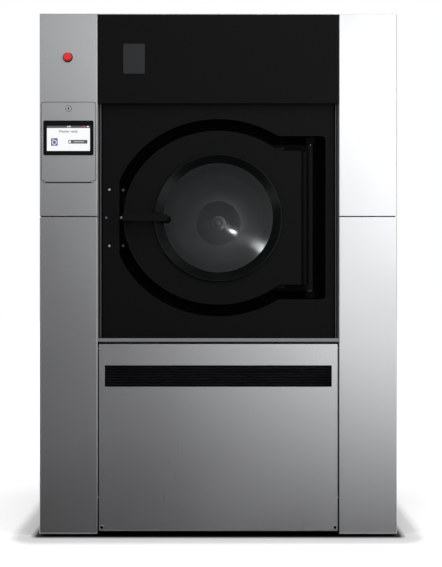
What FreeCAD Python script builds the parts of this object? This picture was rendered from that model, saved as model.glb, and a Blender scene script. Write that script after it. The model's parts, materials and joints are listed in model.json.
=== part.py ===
import FreeCAD, Part
import os
import re
import Sketcher
from FreeCAD import Placement, Rotation, Vector

# Soft-mount washer-extractor, millimetres, +Z up, front towards -Y.
# The origin is on the floor, in the middle of the cabinet.

# Driving dimensions, each set by itself
SIZES = {
    # Cabinet
    "cabinet_width": 1280,
    "cabinet_depth": 1350,
    "cabinet_height": 1870,
    "sheet_thickness": 2.5,
    "bend_radius": 3,
    "foot_thickness": 8,
    "foot_length": 140,
    "foot_margin": 45,
    "anchor_offset": 40,
    "anchor_hole_radius": 9,
    "rail_width": 100,
    "rail_height": 100,
    "rail_wall": 6,
    "rail_side_gap": 7.5,
    "rail_end_gap": 45,
    "post_size": 50,
    "column_width": 208,
    "column_return": 60,
    "seam_drop": 121.5,
    "seam_gap": 4,
    "panel_top_margin": 55,
    "panel_bottom_margin": 78,
    "cover_return": 60,
    "cover_side_gap": 0.8,
    "panel_recess": 25,
    "panel_thickness": 3,
    "trim_width": 12,
    "trim_depth": 16,
    "trim_wall": 3,
    "trim_stand": 6,
    "ledge_height": 13.5,
    "ledge_depth": 36,
    "lower_panel_seam": 7.5,
    "lower_panel_bottom": 18,
    "lower_panel_gap": 5,
    "lower_panel_return": 40,
    "lip_height": 4,
    "lip_stand": 2,
    "vent_side_gap": 21,
    "vent_drop": 76.5,
    "vent_height": 76,
    "vent_border": 5,
    "vent_flange": 8,
    "vent_depth": 14,
    "vent_fit": 0.3,
    "slat_count": 6,
    "slat_height": 5,
    "catch_drop": 16,
    "catch_rise": 118,
    "catch_radius": 4,
    "catch_setback": 20,
    "quarter_turn_radius": 8,
    "quarter_turn_stand": 3,
    "quarter_turn_inset": 9,
    "quarter_turn_rise": 13,
    "panel_screw_radius": 4,
    "panel_screw_stand": 3,
    "panel_screw_inset": 29,
    "panel_screw_pitch": 101,
    "badge_inset": 130.5,
    "badge_drop": 159,
    "badge_width": 77,
    "badge_height": 107,
    "badge_thickness": 3,
    "badge_corner": 4,
    # Door opening in the front panel
    "cutout_side_margin": 37,
    "cutout_half_height": 354,
    "cutout_left_flat": 28,
    "cutout_block_margin": 35,
    "cutout_block_gap": 31,
    "cutout_corner": 16,
    # Door
    "door_edge_gap": 42,
    "door_block_half_height": 240,
    "door_hinge_gap": 24,
    "door_recess": 20,
    "door_thickness": 34,
    "door_skin": 4,
    "ring_outer_radius": 230,
    "ring_width": 34,
    "ring_stand": 12,
    "ring_lip": 3,
    "ring_land": 1.5,
    "glass_flange_overlap": 16,
    "glass_thickness": 10,
    "glass_seat_fit": 0.5,
    "bowl_mouth_overlap": 2,
    "bowl_bore_gap": 2,
    "bowl_taper": 28,
    "bowl_depth": 130,
    "bowl_dome": 14,
    "hinge_side_gap": 55,
    "hinge_setback": 47,
    "hinge_tube_radius": 12.25,
    "hinge_tube_overhang": 22,
    "hinge_pin_radius": 8,
    "hinge_pin_fit": 0.05,
    "hinge_end_gap": 1,
    "hinge_bracket_height": 26,
    "hinge_bracket_half_width": 17,
    "hinge_bracket_nose": 14,
    "hinge_bracket_round": 4,
    "hinge_leaf_thickness": 6,
    "hinge_arm_length": 140,
    "hinge_arm_height": 18,
    "hinge_arm_thickness": 12,
    "handle_left_inset": 7,
    "handle_ring_overlap": 52,
    "handle_height": 25,
    "handle_depth": 22,
    "handle_neck_length": 9,
    "handle_neck_height": 14,
    "handle_end_flat": 0.5,
    "handle_pivot_inset": 18,
    "handle_pivot_stand": 15,
    "handle_back_gap": 18,
    "handle_pin_radius": 4,
    "handle_pin_fit": 0.05,
    "handle_knuckle_radius": 9,
    "handle_knuckle_height": 13,
    "handle_lug_radius": 12,
    "handle_lug_gap": 0.5,
    "handle_lug_base": 4,
    # Wash group
    "motor_tub_gap": 94,
    "tub_front_setback": 115,
    "tub_radius": 500,
    "tub_wall": 4,
    "tub_end_thickness": 8,
    "tub_shaft_hole_radius": 60,
    "neck_bowl_gap": 24,
    "neck_wall": 5,
    "neck_length": 35,
    "seal_bowl_gap": 6,
    "seal_neck_overlap": 7,
    "seal_gap": 0.5,
    "seal_sleeve": 22,
    "seal_wall": 6,
    "keeper_door_gap": 15,
    "keeper_width": 26,
    "keeper_half_height": 112,
    "keeper_gap": 5,
    "keeper_stud_radius": 4.5,
    "keeper_stud_gap": 3,
    "keeper_stud_length": 24,
    "keeper_bolt_radius": 5,
    "keeper_bolt_pitch": 100,
    "keeper_bolt_stand": 4,
    "drum_clearance": 38,
    "drum_front_gap": 12,
    "rear_space": 146.5,
    "drum_wall": 3,
    "drum_mouth_gap": 4,
    "drum_lip": 15,
    "drum_back_thickness": 6,
    "drum_back_gap": 7,
    "drum_hub_radius": 74,
    "drum_hub_stand": 6,
    "drum_hub_cap_radius": 29,
    "drum_hub_cap_stand": 5,
    "lifter_height": 90,
    "lifter_base": 130,
    "lifter_crest": 40,
    "lifter_end_gap": 30,
    "lifter_count": 3,
    "lifter_round": 15,
    "spider_radius": 160,
    "spider_thickness": 16,
    "shaft_radius": 45,
    "shaft_fit": 0.05,
    "bearing_outer_radius": 75,
    "bearing_width": 35,
    "bearing_inset": 15,
    "housing_radius": 105,
    "housing_length": 200,
    "housing_flange_radius": 210,
    "housing_flange_thickness": 14,
    "housing_bore_radius": 62,
    "rib_count": 6,
    "rib_thickness": 14,
    "pulley_gap": 16,
    "pulley_radius": 330,
    "pulley_width": 60,
    "pulley_rim": 18,
    "pulley_web": 14,
    "pulley_hub_radius": 80,
    "belt_thickness": 8,
    "belt_gap": 0.3,
    "belt_edge": 8,
    "motor_pulley_radius": 75,
    "motor_radius": 115,
    "motor_length": 330,
    "motor_shaft_radius": 24,
    "motor_foot_width": 190,
    "motor_foot_gap": 8,
    "motor_pulley_gap": 20,
    "motor_foot_length": 240,
    "motor_fin_count": 12,
    "motor_fin_height": 10,
    "motor_fin_thickness": 6,
    "cradle_beam_width": 80,
    "cradle_beam_height": 60,
    "cradle_end_gap": 60,
    "saddle_thickness": 14,
    "saddle_half_width": 410,
    "saddle_front_setback": 110,
    "saddle_back_setback": 210,
    "saddle_rise": 180,
    "saddle_fit": 0.3,
    "motor_table_thickness": 20,
    "spring_pitch_x": 660,
    "spring_front_setback": 255,
    "spring_back_setback": 275,
    "spring_height": 120,
    "spring_radius": 75,
    "spring_waist": 60,
    "spring_plate": 14,
    "damper_pitch_x": 400,
    "damper_radius": 22,
    "damper_length": 80,
    "damper_rod_radius": 9,
    "damper_fit": 0.05,
    "damper_bore": 15,
    "damper_cap": 20,
    "damper_foot": 8,
    "damper_rod_depth": 40,
    "drain_setback": 400,
    "drain_radius": 38,
    "drain_wall": 3,
    "drain_valve_length": 100,
    "drain_valve_radius": 60,
    "drain_spigot_length": 120,
    "drain_slip": 2,
    "drain_outlet_height": 160,
    "drain_outlet_stand": 80,
    "drain_insertion": 40,
    "drain_collar": 10,
    # Emergency stop and control door
    "estop_inset": 101,
    "estop_drop": 153.5,
    "estop_head_radius": 15,
    "estop_head_length": 20,
    "estop_stem_radius": 6,
    "estop_fit": 0.05,
    "estop_collar_radius": 18,
    "estop_collar_thickness": 4,
    "estop_barrel_radius": 11,
    "estop_barrel_length": 22,
    "estop_travel_gap": 13,
    "estop_block_size": 28,
    "estop_block_depth": 36,
    "control_inset": 7.3,
    "control_drop": 315.5,
    "control_height": 286.5,
    "control_thickness": 3,
    "control_stand": 1,
    "control_corner": 8,
    "control_overlap": 8,
    "control_box_depth": 40,
    "control_box_margin": 10,
    "control_box_wall": 2,
    "knuckle_radius": 3,
    "knuckle_pin_radius": 1.5,
    "knuckle_fit": 0.05,
    "knuckle_inset": 14,
    "ear_thickness": 5,
    "control_ear_gap": 0.5,
    "bezel_side_gap": 7.2,
    "bezel_height": 124,
    "bezel_rise": 97.5,
    "bezel_thickness": 5,
    "bezel_corner": 5,
    "screen_side_border": 12.5,
    "screen_height": 91,
    "screen_offset": 6,
    "screen_inset": 1.5,
    "screen_fit": 0.4,
    "display_depth": 26,
    "display_margin": 8,
    "lock_drop": 21.5,
    "lock_head_radius": 9.5,
    "lock_head_stand": 3,
    "lock_barrel_radius": 8,
    "lock_barrel_length": 12,
    "lock_fit": 0.05,
    "lock_cam_length": 17,
    "lock_cam_height": 10,
    "lock_cam_thickness": 3,
    "lock_slot_width": 2,
    # Services at the rear
    "inverter_width": 220,
    "inverter_height": 260,
    "inverter_depth": 130,
    "inverter_post_gap": 25,
    "inverter_drop": 37,
    "inverter_fin_count": 8,
    "inverter_fin_gap": 12,
    "inverter_fin_depth": 22,
    "isolator_center_x": 430,
    "isolator_drop": 347.5,
    "isolator_size": 130,
    "isolator_depth": 80,
    "isolator_corner": 8,
    "isolator_knob_radius": 24,
    "isolator_knob_depth": 22,
    "isolator_knob_gap": 1,
    "isolator_stem_radius": 6,
    "isolator_fit": 0.05,
    "isolator_stem_length": 14,
    "gland_radius": 14,
    "gland_nut_radius": 18,
    "gland_length": 40,
    "gland_bore_radius": 9,
    "inlet_count": 3,
    "inlet_pitch": 110,
    "inlet_center_x": 60,
    "inlet_drop": 122.5,
    "inlet_thread_radius": 13.2,
    "inlet_thread_length": 24,
    "inlet_bore_radius": 8,
    "inlet_flange_radius": 24,
    "inlet_flange_thickness": 5,
    "inlet_hole_fit": 0.5,
    "inlet_body_length": 55,
    "inlet_body_size": 42,
    "inlet_coil_radius": 17,
    "inlet_coil_height": 38,
}

# Places worked out from the driving dimensions
LAYOUT = {
    "half_width": "cabinet_width / 2",
    "front_y": "-cabinet_depth / 2",
    "back_y": "cabinet_depth / 2",
    "skin_top": "cabinet_height - sheet_thickness",
    "column_inner": "half_width - column_width",
    "rail_outer": "half_width - sheet_thickness - rail_side_gap",
    "rail_inner": "rail_outer - rail_width",
    "rail_end": "back_y - rail_end_gap",
    "rail_top": "foot_thickness + rail_height",
    "anchor_x": "rail_inner - anchor_offset",
    "anchor_y": "rail_end - foot_length / 2",
    "post_inner": "(rail_inner + rail_outer - post_size) / 2",
    "panel_front_y": "front_y + panel_recess",
    "panel_edge": "column_inner - trim_width",
    "lower_edge": "column_inner - lower_panel_gap",
    "cover_bottom": "drum_axis_height + cutout_half_height + panel_top_margin",
    "ledge_top": "drum_axis_height - cutout_half_height - panel_bottom_margin",
    "ledge_bottom": "ledge_top - ledge_height",
    "lower_panel_top": "ledge_bottom - lower_panel_seam",
    "vent_half_width": "lower_edge - vent_side_gap",
    "vent_top": "lower_panel_top - vent_drop",
    "vent_bottom": "vent_top - vent_height",
    "badge_center_x": "column_inner - badge_inset",
    "badge_center_z": "skin_top - badge_drop",
    "cutout_half_width": "panel_edge - cutout_side_margin",
    "cutout_left_reach": "cutout_half_width - cutout_left_flat",
    "cutout_block_reach": "panel_edge - cutout_block_margin",
    "cutout_block_half_height": "hinge_tube_half_length + cutout_block_gap",
    "door_half_width": "cutout_half_width - door_edge_gap",
    "door_half_height": "cutout_half_height - door_edge_gap",
    "hinge_reach": "cutout_block_reach - hinge_side_gap",
    "hinge_tube_half_length": "door_block_half_height + hinge_tube_overhang",
    "door_block_reach": "hinge_reach - door_hinge_gap",
    "handle_pivot_reach": "door_half_width - handle_pivot_inset",
    "door_front_y": "front_y + door_recess",
    "door_back_y": "door_front_y + door_thickness",
    "seal_front_y": "door_back_y + seal_gap",
    "hinge_y": "front_y + hinge_setback",
    "ring_inner_radius": "ring_outer_radius - ring_width",
    "glass_flange_radius": "ring_inner_radius + glass_flange_overlap",
    "bowl_mouth_radius": "ring_inner_radius + bowl_mouth_overlap",
    "bowl_end_radius": "bowl_mouth_radius - bowl_taper",
    "neck_radius": "bowl_mouth_radius + neck_bowl_gap",
    "seal_inner_radius": "bowl_mouth_radius + bowl_bore_gap + seal_bowl_gap",
    "seal_outer_radius": "neck_radius + seal_neck_overlap",
    "drum_mouth_radius": "neck_radius + drum_mouth_gap",
    "tub_front_y": "front_y + tub_front_setback",
    "drum_radius": "tub_radius - tub_wall - drum_clearance",
    "drum_front_y": "tub_front_y + tub_end_thickness + drum_front_gap",
    "shaft_end_y": "back_y - sheet_thickness - rear_space",
    "pulley_y": "shaft_end_y - bearing_inset - pulley_width",
    "housing_end_y": "pulley_y - pulley_gap",
    "tub_back_y": "housing_end_y - housing_length",
    "tub_length": "tub_back_y - tub_front_y",
    "spider_y": "tub_back_y - tub_end_thickness - drum_back_gap - spider_thickness",
    "drum_back_y": "spider_y - drum_back_thickness",
    "drum_length": "drum_back_y - drum_front_y",
    "cradle_bottom": "rail_top + spring_height",
    "cradle_top": "cradle_bottom + cradle_beam_height",
    "motor_z": "cradle_top + motor_foot_gap + motor_fin_height + motor_radius",
    "drum_axis_height": "motor_z + motor_radius + motor_fin_height + motor_tub_gap + tub_radius",
    "belt_distance": "drum_axis_height - motor_z",
    "motor_back_y": "pulley_y - motor_pulley_gap",
    "motor_front_y": "motor_back_y - motor_length",
    "spring_x": "spring_pitch_x / 2",
    "spring_front_y": "front_y + spring_front_setback",
    "spring_back_y": "back_y - spring_back_setback",
    "drain_y": "front_y + drain_setback",
    "drain_top": "drum_axis_height - tub_radius",
    "valve_bottom": "drain_top - drain_valve_length",
    "spigot_bottom": "valve_bottom - drain_spigot_length",
    "estop_x": "-half_width + estop_inset",
    "estop_height": "skin_top - estop_drop",
    "control_left": "-half_width + control_inset",
    "control_right": "-column_inner - control_inset",
    "control_center": "(control_left + control_right) / 2",
    "control_top": "skin_top - control_drop",
    "control_bottom": "control_top - control_height",
    "control_back_y": "front_y - control_stand",
    "control_front_y": "control_back_y - control_thickness",
    "knuckle_z": "control_bottom + knuckle_radius",
    "lock_z": "control_top - lock_drop",
    "seam_height": "control_bottom - seam_drop",
    "bezel_bottom": "control_bottom + bezel_rise",
    "bezel_width": "control_right - control_left - 2 * bezel_side_gap",
    "screen_width": "bezel_width - 2 * screen_side_border",
    "screen_bottom": "bezel_bottom + (bezel_height - screen_height) / 2 - screen_offset / 2",
    "isolator_back_y": "back_y + isolator_depth",
    "isolator_height": "skin_top - isolator_drop",
    "inlet_height": "skin_top - inlet_drop",
    "inverter_top": "skin_top - post_size - inverter_drop",
    "inverter_right": "post_inner - inverter_post_gap",
}

os.makedirs("parts", exist_ok=True)
doc = FreeCAD.newDocument("washer_extractor")


def write_sheet(name, rows, text):
    """Fills one spreadsheet: names in column A, values in column B, one alias for each row."""
    sheet = doc.addObject("Spreadsheet::Sheet", name)
    for row, (alias, entry) in enumerate(rows.items(), start=1):
        sheet.set(f"A{row}", alias)
        sheet.set(f"B{row}", text(entry))
        sheet.setAlias(f"B{row}", alias)
    doc.recompute()
    return sheet


def in_words(entry, home=None):
    """Points each size named in a formula at its cell."""
    def point(match):
        word = match.group(0)
        if word in SIZES:
            return f"Sizes.{word}"
        if word in LAYOUT:
            return word if home == "Layout" else f"Layout.{word}"
        return word
    return re.sub(r"[a-z_][a-z_0-9]*", point, str(entry))


sizes = write_sheet("Sizes", SIZES, str)
layout = write_sheet("Layout", LAYOUT, lambda entry: "=" + in_words(entry, "Layout"))


def value(formula):
    """The number that a formula gives now."""
    return float(sizes.evalExpression(in_words(formula)))


def bind(piece, **formulas):
    """Ties properties of a piece to formulas on the sheets; __ stands for a dot in a property's path."""
    for name, formula in formulas.items():
        piece.setExpression(name.replace("__", "."), in_words(formula))
    return piece


def place(piece, x=0, y=0, z=0):
    """Ties a piece's place to three formulas."""
    return bind(piece, Placement__Base__x=x, Placement__Base__y=y, Placement__Base__z=z)


# Sketch plane, turning axis, and the sign of a pad and of a pocket that run along each axis
PLANES = {
    "x": ("YZ_Plane", 1, False, True),
    "y": ("XZ_Plane", -1, True, False),
    "z": ("XY_Plane", 1, False, True),
}
TURNS = {"x": ("XY_Plane", "H_Axis"), "y": ("YZ_Plane", "H_Axis"), "z": ("XZ_Plane", "V_Axis")}
ALONG = {"x": Rotation(Vector(0, 1, 0), 90), "y": Rotation(Vector(1, 0, 0), -90), "z": Rotation()}
NEAR = 1e-4
nodes = []


def node(label, piece):
    """Marks a piece as one of the sub-parts that are written out, under its own name."""
    piece.Label = label
    nodes.append(piece)
    return piece


def new_body(label):
    return doc.addObject("PartDesign::Body", label)


def sketch_on(body, role, offset="0"):
    """A sketch on one of the body's own origin planes, moved along the plane's normal."""
    plane = next(item for item in body.Origin.OriginFeatures if item.Role == role)
    sketch = body.newObject("Sketcher::SketchObject", body.Name + "_sketch")
    sketch.AttachmentSupport = [(plane, "")]
    sketch.MapMode = "FlatFace"
    return bind(sketch, AttachmentOffset__Base__z=offset)


def hold(sketch, kind, geometry, spot, formula):
    """Ties one coordinate of a sketched point to a formula, from the sketch's origin."""
    number = sketch.addConstraint(Sketcher.Constraint(kind, -1, 1, geometry, spot, value(formula)))
    sketch.setExpression(f"Constraints[{number}]", in_words(formula))


def polygon(sketch, corners):
    """A closed run of straight lines whose corners are pairs of formulas."""
    spots = [Vector(value(x), value(y), 0) for x, y in corners]
    first = sketch.GeometryCount
    count = len(corners)
    for step in range(count):
        sketch.addGeometry(Part.LineSegment(spots[step], spots[(step + 1) % count]), False)
    for step in range(count):
        following = first + (step + 1) % count
        sketch.addConstraint(Sketcher.Constraint("Coincident", first + step, 2, following, 1))
    for step, (x, y) in enumerate(corners):
        hold(sketch, "DistanceX", first + step, 1, x)
        hold(sketch, "DistanceY", first + step, 1, y)


def circle(sketch, x, y, radius):
    """A round outline; its centre and radius are formulas."""
    outline = Part.Circle(Vector(value(x), value(y), 0), Vector(0, 0, 1), value(radius))
    number = sketch.addGeometry(outline, False)
    hold(sketch, "DistanceX", number, 3, x)
    hold(sketch, "DistanceY", number, 3, y)
    size = sketch.addConstraint(Sketcher.Constraint("Radius", number, value(radius)))
    sketch.setExpression(f"Constraints[{size}]", in_words(radius))


def draw(sketch, outlines):
    """Draws each outline: three formulas are a circle, a list of pairs is a polygon."""
    for outline in outlines:
        if isinstance(outline, tuple):
            circle(sketch, *outline)
        else:
            polygon(sketch, outline)


def rectangle(left, right, bottom, top):
    return [(left, bottom), (right, bottom), (right, top), (left, top)]


def pad(body, axis, start, length, *outlines):
    """Adds a straight block along one axis to a body."""
    role, sign, reverse, _ = PLANES[axis]
    sketch = sketch_on(body, role, f"{sign} * ({start})")
    draw(sketch, outlines)
    feature = body.newObject("PartDesign::Pad", body.Name + "_pad")
    feature.Profile = sketch
    feature.Reversed = reverse
    bind(feature, Length=length)
    return feature


def pocket(body, axis, start, length, *outlines):
    """Cuts a straight hollow along one axis out of a body, and checks that it cut something."""
    role, sign, _, reverse = PLANES[axis]
    doc.recompute()
    before = body.Shape.Volume
    sketch = sketch_on(body, role, f"{sign} * ({start})")
    draw(sketch, outlines)
    feature = body.newObject("PartDesign::Pocket", body.Name + "_pocket")
    feature.Profile = sketch
    feature.Reversed = reverse
    bind(feature, Length=length)
    doc.recompute()
    if body.Shape.Volume >= before:
        raise RuntimeError(f"{body.Label}: a pocket cuts nothing")
    return feature


def prism(label, axis, start, length, *outlines):
    """A body made of one straight block."""
    body = new_body(label)
    pad(body, axis, start, length, *outlines)
    return body


def turned(label, axis, profile, x=0, y=0, z=0):
    """A body turned about a line along one axis; the profile is pairs of place along it and radius."""
    role, line = TURNS[axis]
    body = new_body(label)
    sketch = sketch_on(body, role)
    polygon(sketch, profile if line == "H_Axis" else [(radius, along) for along, radius in profile])
    feature = body.newObject("PartDesign::Revolution", label + "_turn")
    feature.Profile = sketch
    feature.ReferenceAxis = (sketch, [line])
    feature.Angle = 360
    return place(body, x, y, z)


def on_line(edge, axis, spots):
    """Whether an edge is straight along one axis and passes one of the spots across it."""
    box = edge.BoundBox
    spans = {"x": box.XLength, "y": box.YLength, "z": box.ZLength}
    middle = {"x": box.Center.x, "y": box.Center.y, "z": box.Center.z}
    across = [name for name in "xyz" if name != axis]
    if spans[axis] < NEAR or any(spans[name] > NEAR for name in across):
        return False
    found = tuple(middle[name] for name in across)
    return any(all(abs(a - b) < NEAR for a, b in zip(found, spot)) for spot in spots)


def round_edges(body, radius, axis, spots):
    """Rounds the edges along one axis that pass the given spots."""
    doc.recompute()
    places = [tuple(value(formula) for formula in spot) for spot in spots]
    edges = body.Tip.Shape.Edges
    chosen = [f"Edge{number}" for number, edge in enumerate(edges, 1) if on_line(edge, axis, places)]
    feature = body.newObject("PartDesign::Fillet", body.Name + "_round")
    feature.Base = (body.Tip if body.Tip != feature else feature.BaseFeature, chosen)
    bind(feature, Radius=radius)
    body.Tip = feature
    return body


def box(label, low, high):
    """A plain block between two corners, each of three formulas."""
    piece = doc.addObject("Part::Box", label)
    for side, low_formula, high_formula in zip(("Length", "Width", "Height"), low, high):
        bind(piece, **{side: f"({high_formula}) - ({low_formula})"})
    return place(piece, *low)


def rod(label, axis, radius, start, length):
    """A round bar along one axis from its start point."""
    piece = doc.addObject("Part::Cylinder", label)
    piece.Placement = Placement(Vector(), ALONG[axis])
    bind(piece, Radius=radius, Height=length)
    return place(piece, *start)


def fuse(label, *pieces):
    piece = doc.addObject("Part::MultiFuse", label)
    piece.Shapes = list(pieces)
    return piece


def cut(label, base, *tools):
    piece = doc.addObject("Part::Cut", label)
    piece.Base = base
    piece.Tool = tools[0] if len(tools) == 1 else fuse(label + "_tools", *tools)
    return piece


def group(label, *pieces):
    """Separate solids that share one node."""
    piece = doc.addObject("Part::Compound", label)
    piece.Links = list(pieces)
    return piece


def oval(label, half_width, half_height, front, depth):
    """An oval block round the drum axis, set back from a plane across it."""
    curve = doc.addObject("Part::Ellipse", label + "_outline")
    curve.Placement = Placement(Vector(), ALONG["y"])
    bind(curve, MajorRadius=f"max({half_width}; {half_height})")
    bind(curve, MinorRadius=f"min({half_width}; {half_height})")
    quarter = Rotation(Vector(0, 1, 0), 90)
    if value(half_width) < value(half_height):
        curve.Placement = Placement(Vector(), quarter * ALONG["y"])
    place(curve, 0, front, "drum_axis_height")
    piece = doc.addObject("Part::Extrusion", label)
    piece.Base = curve
    piece.DirMode = "Custom"
    piece.Dir = Vector(0, 1, 0)
    piece.Solid = True
    return bind(piece, LengthFwd=depth)


# Base, frame and anchor feet

def foot(across, along):
    """One floor plate under a rail end, with its anchor hole beside the rail."""
    near = f"{across} * (anchor_x - foot_margin)"
    far = f"{across} * rail_outer"
    middle = f"{along} * anchor_y"
    plate = prism("foot_plate", "z", "0", "foot_thickness",
                  rectangle(near, far, f"{middle} - foot_length / 2", f"{middle} + foot_length / 2"),
                  (f"{across} * anchor_x", middle, "anchor_hole_radius"))
    return plate


def tube(label, axis, low, high):
    """A square tube along one axis, open at its ends."""
    wall = {name: "0" if name == axis else "rail_wall" for name in "xyz"}
    inner_low = [f"{formula} + {wall[name]}" for name, formula in zip("xyz", low)]
    inner_high = [f"{formula} - {wall[name]}" for name, formula in zip("xyz", high)]
    return cut(label, box(label + "_outside", low, high), box(label + "_inside", inner_low, inner_high))


def make_base():
    corners = [(across, along) for across in (-1, 1) for along in (-1, 1)]
    node("anchor_feet", group("anchor_feet", *[foot(*corner) for corner in corners]))
    bottom = "foot_thickness"
    rails = [tube("base_rail", "y", (left, "-rail_end", bottom), (right, "rail_end", "rail_top"))
             for left, right in (("-rail_outer", "-rail_inner"), ("rail_inner", "rail_outer"))]
    beams = [tube("base_beam", "x", ("-rail_inner", f"{row} - rail_width / 2", bottom),
                  ("rail_inner", f"{row} + rail_width / 2", "rail_top"))
             for row in ("spring_front_y", "spring_back_y")]
    node("base_frame", fuse("base_frame", *rails, *beams))


def make_upper_frame():
    """Four posts on the base rails, joined by a ring of rails under the top panel."""
    middle = "(rail_inner + rail_outer) / 2"
    half = "post_size / 2"
    front = "front_y + column_return"
    rows = ((front, f"{front} + post_size"), ("rail_end - post_size", "rail_end"))
    under_top = "skin_top - post_size"
    bars = []
    for across in (-1, 1):
        left = f"{across} * ({middle}) - {half}"
        right = f"{across} * ({middle}) + {half}"
        bars += [box("post", (left, low, "rail_top"), (right, high, "skin_top")) for low, high in rows]
        bars.append(box("side_rail", (left, front, under_top), (right, "rail_end", "skin_top")))
    bars += [box("cross_rail", (f"-({middle})", low, under_top), (middle, high, "skin_top"))
             for low, high in rows]
    node("upper_frame", fuse("upper_frame", *bars))


# Cabinet skin

def column(label, side, bottom, top):
    """One folded front column panel: a face with a return at each edge."""
    outer = f"{side} * half_width"
    inner = f"{side} * column_inner"
    face_outer = f"{side} * (half_width - sheet_thickness)"
    face_inner = f"{side} * (column_inner + sheet_thickness)"
    front = "front_y"
    face_back = "front_y + sheet_thickness"
    back = "front_y + column_return"
    section = [(outer, front), (inner, front), (inner, back), (face_inner, back), (face_inner, face_back),
               (face_outer, face_back), (face_outer, back), (outer, back)]
    body = prism(label, "z", bottom, f"{top} - ({bottom})", section)
    return round_edges(body, "bend_radius", "z", [(outer, front), (inner, front)])


def make_columns():
    lower_top = "seam_height - seam_gap / 2"
    upper_bottom = "seam_height + seam_gap / 2"
    node("left_lower_column", column("left_lower_column", -1, "foot_thickness", lower_top))
    node("right_lower_column", column("right_lower_column", 1, "foot_thickness", lower_top))
    node("right_upper_column", column("right_upper_column", 1, upper_bottom, "skin_top"))
    left = node("left_upper_column", column("left_upper_column", -1, upper_bottom, "skin_top"))
    opening = rectangle("control_left + control_overlap", "control_right - control_overlap",
                        "control_bottom - control_stand", "control_top - control_overlap")
    pocket(left, "y", "front_y", "sheet_thickness", opening,
           ("estop_x", "estop_height", "estop_barrel_radius + estop_fit"))


def make_skin():
    top = "skin_top"
    bottom = "foot_thickness"
    inside = "half_width - sheet_thickness"
    for label, left, right in (("left_side_panel", "-half_width", f"-({inside})"),
                               ("right_side_panel", inside, "half_width")):
        node(label, box(label, (left, "front_y + column_return", bottom), (right, "back_y", top)))
    node("top_panel", box("top_panel", ("-half_width", "front_y", top),
                          ("half_width", "back_y", "cabinet_height")))
    inlets = [(inlet_x(number), "inlet_height", "inlet_thread_radius + inlet_hole_fit")
              for number in range(int(value("inlet_count")))]
    drain = ("0", "drain_outlet_height", "drain_radius + inlet_hole_fit")
    node("rear_panel", prism("rear_panel", "y", "back_y - sheet_thickness", "sheet_thickness",
                             rectangle(f"-({inside})", inside, bottom, top), drain, *inlets))


def tray(label, side, bottom, top, depth):
    """A shallow folded panel: a face with a return on every edge."""
    wall = "sheet_thickness"
    body = prism(label, "y", "front_y", depth, rectangle(f"-({side})", side, bottom, top))
    pocket(body, "y", f"front_y + {wall}", depth,
           rectangle(f"-({side}) + {wall}", f"{side} - {wall}", f"{bottom} + {wall}", f"{top} - {wall}"))
    return body


def make_front_panels():
    node("top_front_cover", tray("top_front_cover", "column_inner - cover_side_gap", "cover_bottom",
                                 "skin_top", "cover_return"))
    lower = tray("bottom_front_panel", "lower_edge", "lower_panel_bottom", "lower_panel_top",
                 "lower_panel_return")
    pad(lower, "y", "front_y - lip_stand", "lip_stand",
        rectangle("-lower_edge", "lower_edge", "lower_panel_bottom", "lower_panel_bottom + lip_height"))
    pocket(lower, "y", "front_y", "sheet_thickness",
           rectangle("-vent_half_width - vent_fit", "vent_half_width + vent_fit", "vent_bottom - vent_fit",
                     "vent_top + vent_fit"))
    node("bottom_front_panel", lower)
    sheet = box("panel_sheet", ("-panel_edge", "panel_front_y", "ledge_top"),
                ("panel_edge", "panel_front_y + panel_thickness", "cover_bottom"))
    depth = "panel_thickness * 3"
    start = "panel_front_y - panel_thickness"
    round_part = oval("cutout_oval", "cutout_half_width", "cutout_half_height", start, depth)
    beyond = box("cutout_left", ("-panel_edge", start, "ledge_top"),
                 ("-cutout_left_reach", f"{start} + {depth}", "cover_bottom"))
    low = "drum_axis_height - cutout_block_half_height"
    high = "drum_axis_height + cutout_block_half_height"
    block = prism("cutout_block", "y", start, depth, rectangle("0", "cutout_block_reach", low, high))
    round_edges(block, "cutout_corner", "y", [("cutout_block_reach", low), ("cutout_block_reach", high)])
    hole = fuse("cutout_hole", cut("cutout_round", round_part, beyond), block)
    node("front_door_panel", cut("front_door_panel", sheet, hole))


def make_trims():
    """Channel strips beside the door panel, and the folded ledge below it."""
    front = "panel_front_y - trim_stand"
    back = f"{front} + trim_depth"
    floor = f"{back} - trim_wall"
    strips = []
    for side in (-1, 1):
        outer = f"{side} * column_inner"
        outer_wall = f"{side} * (column_inner - trim_wall)"
        inner_wall = f"{side} * (panel_edge + trim_wall)"
        inner = f"{side} * panel_edge"
        section = [(outer, front), (outer, back), (inner, back), (inner, front), (inner_wall, front),
                   (inner_wall, floor), (outer_wall, floor), (outer_wall, front)]
        strips.append(prism("trim_strip", "z", "ledge_top", "cover_bottom - ledge_top", section))
    under = "ledge_top - sheet_thickness"
    section = [("front_y", "ledge_bottom"), ("front_y", "ledge_top"), ("front_y + ledge_depth", "ledge_top"),
               ("front_y + ledge_depth", under), ("front_y + sheet_thickness", under),
               ("front_y + sheet_thickness", "ledge_bottom")]
    ledge = prism("panel_ledge", "x", "-column_inner", "2 * column_inner", section)
    node("door_panel_trims", group("door_panel_trims", *strips, ledge))


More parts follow.
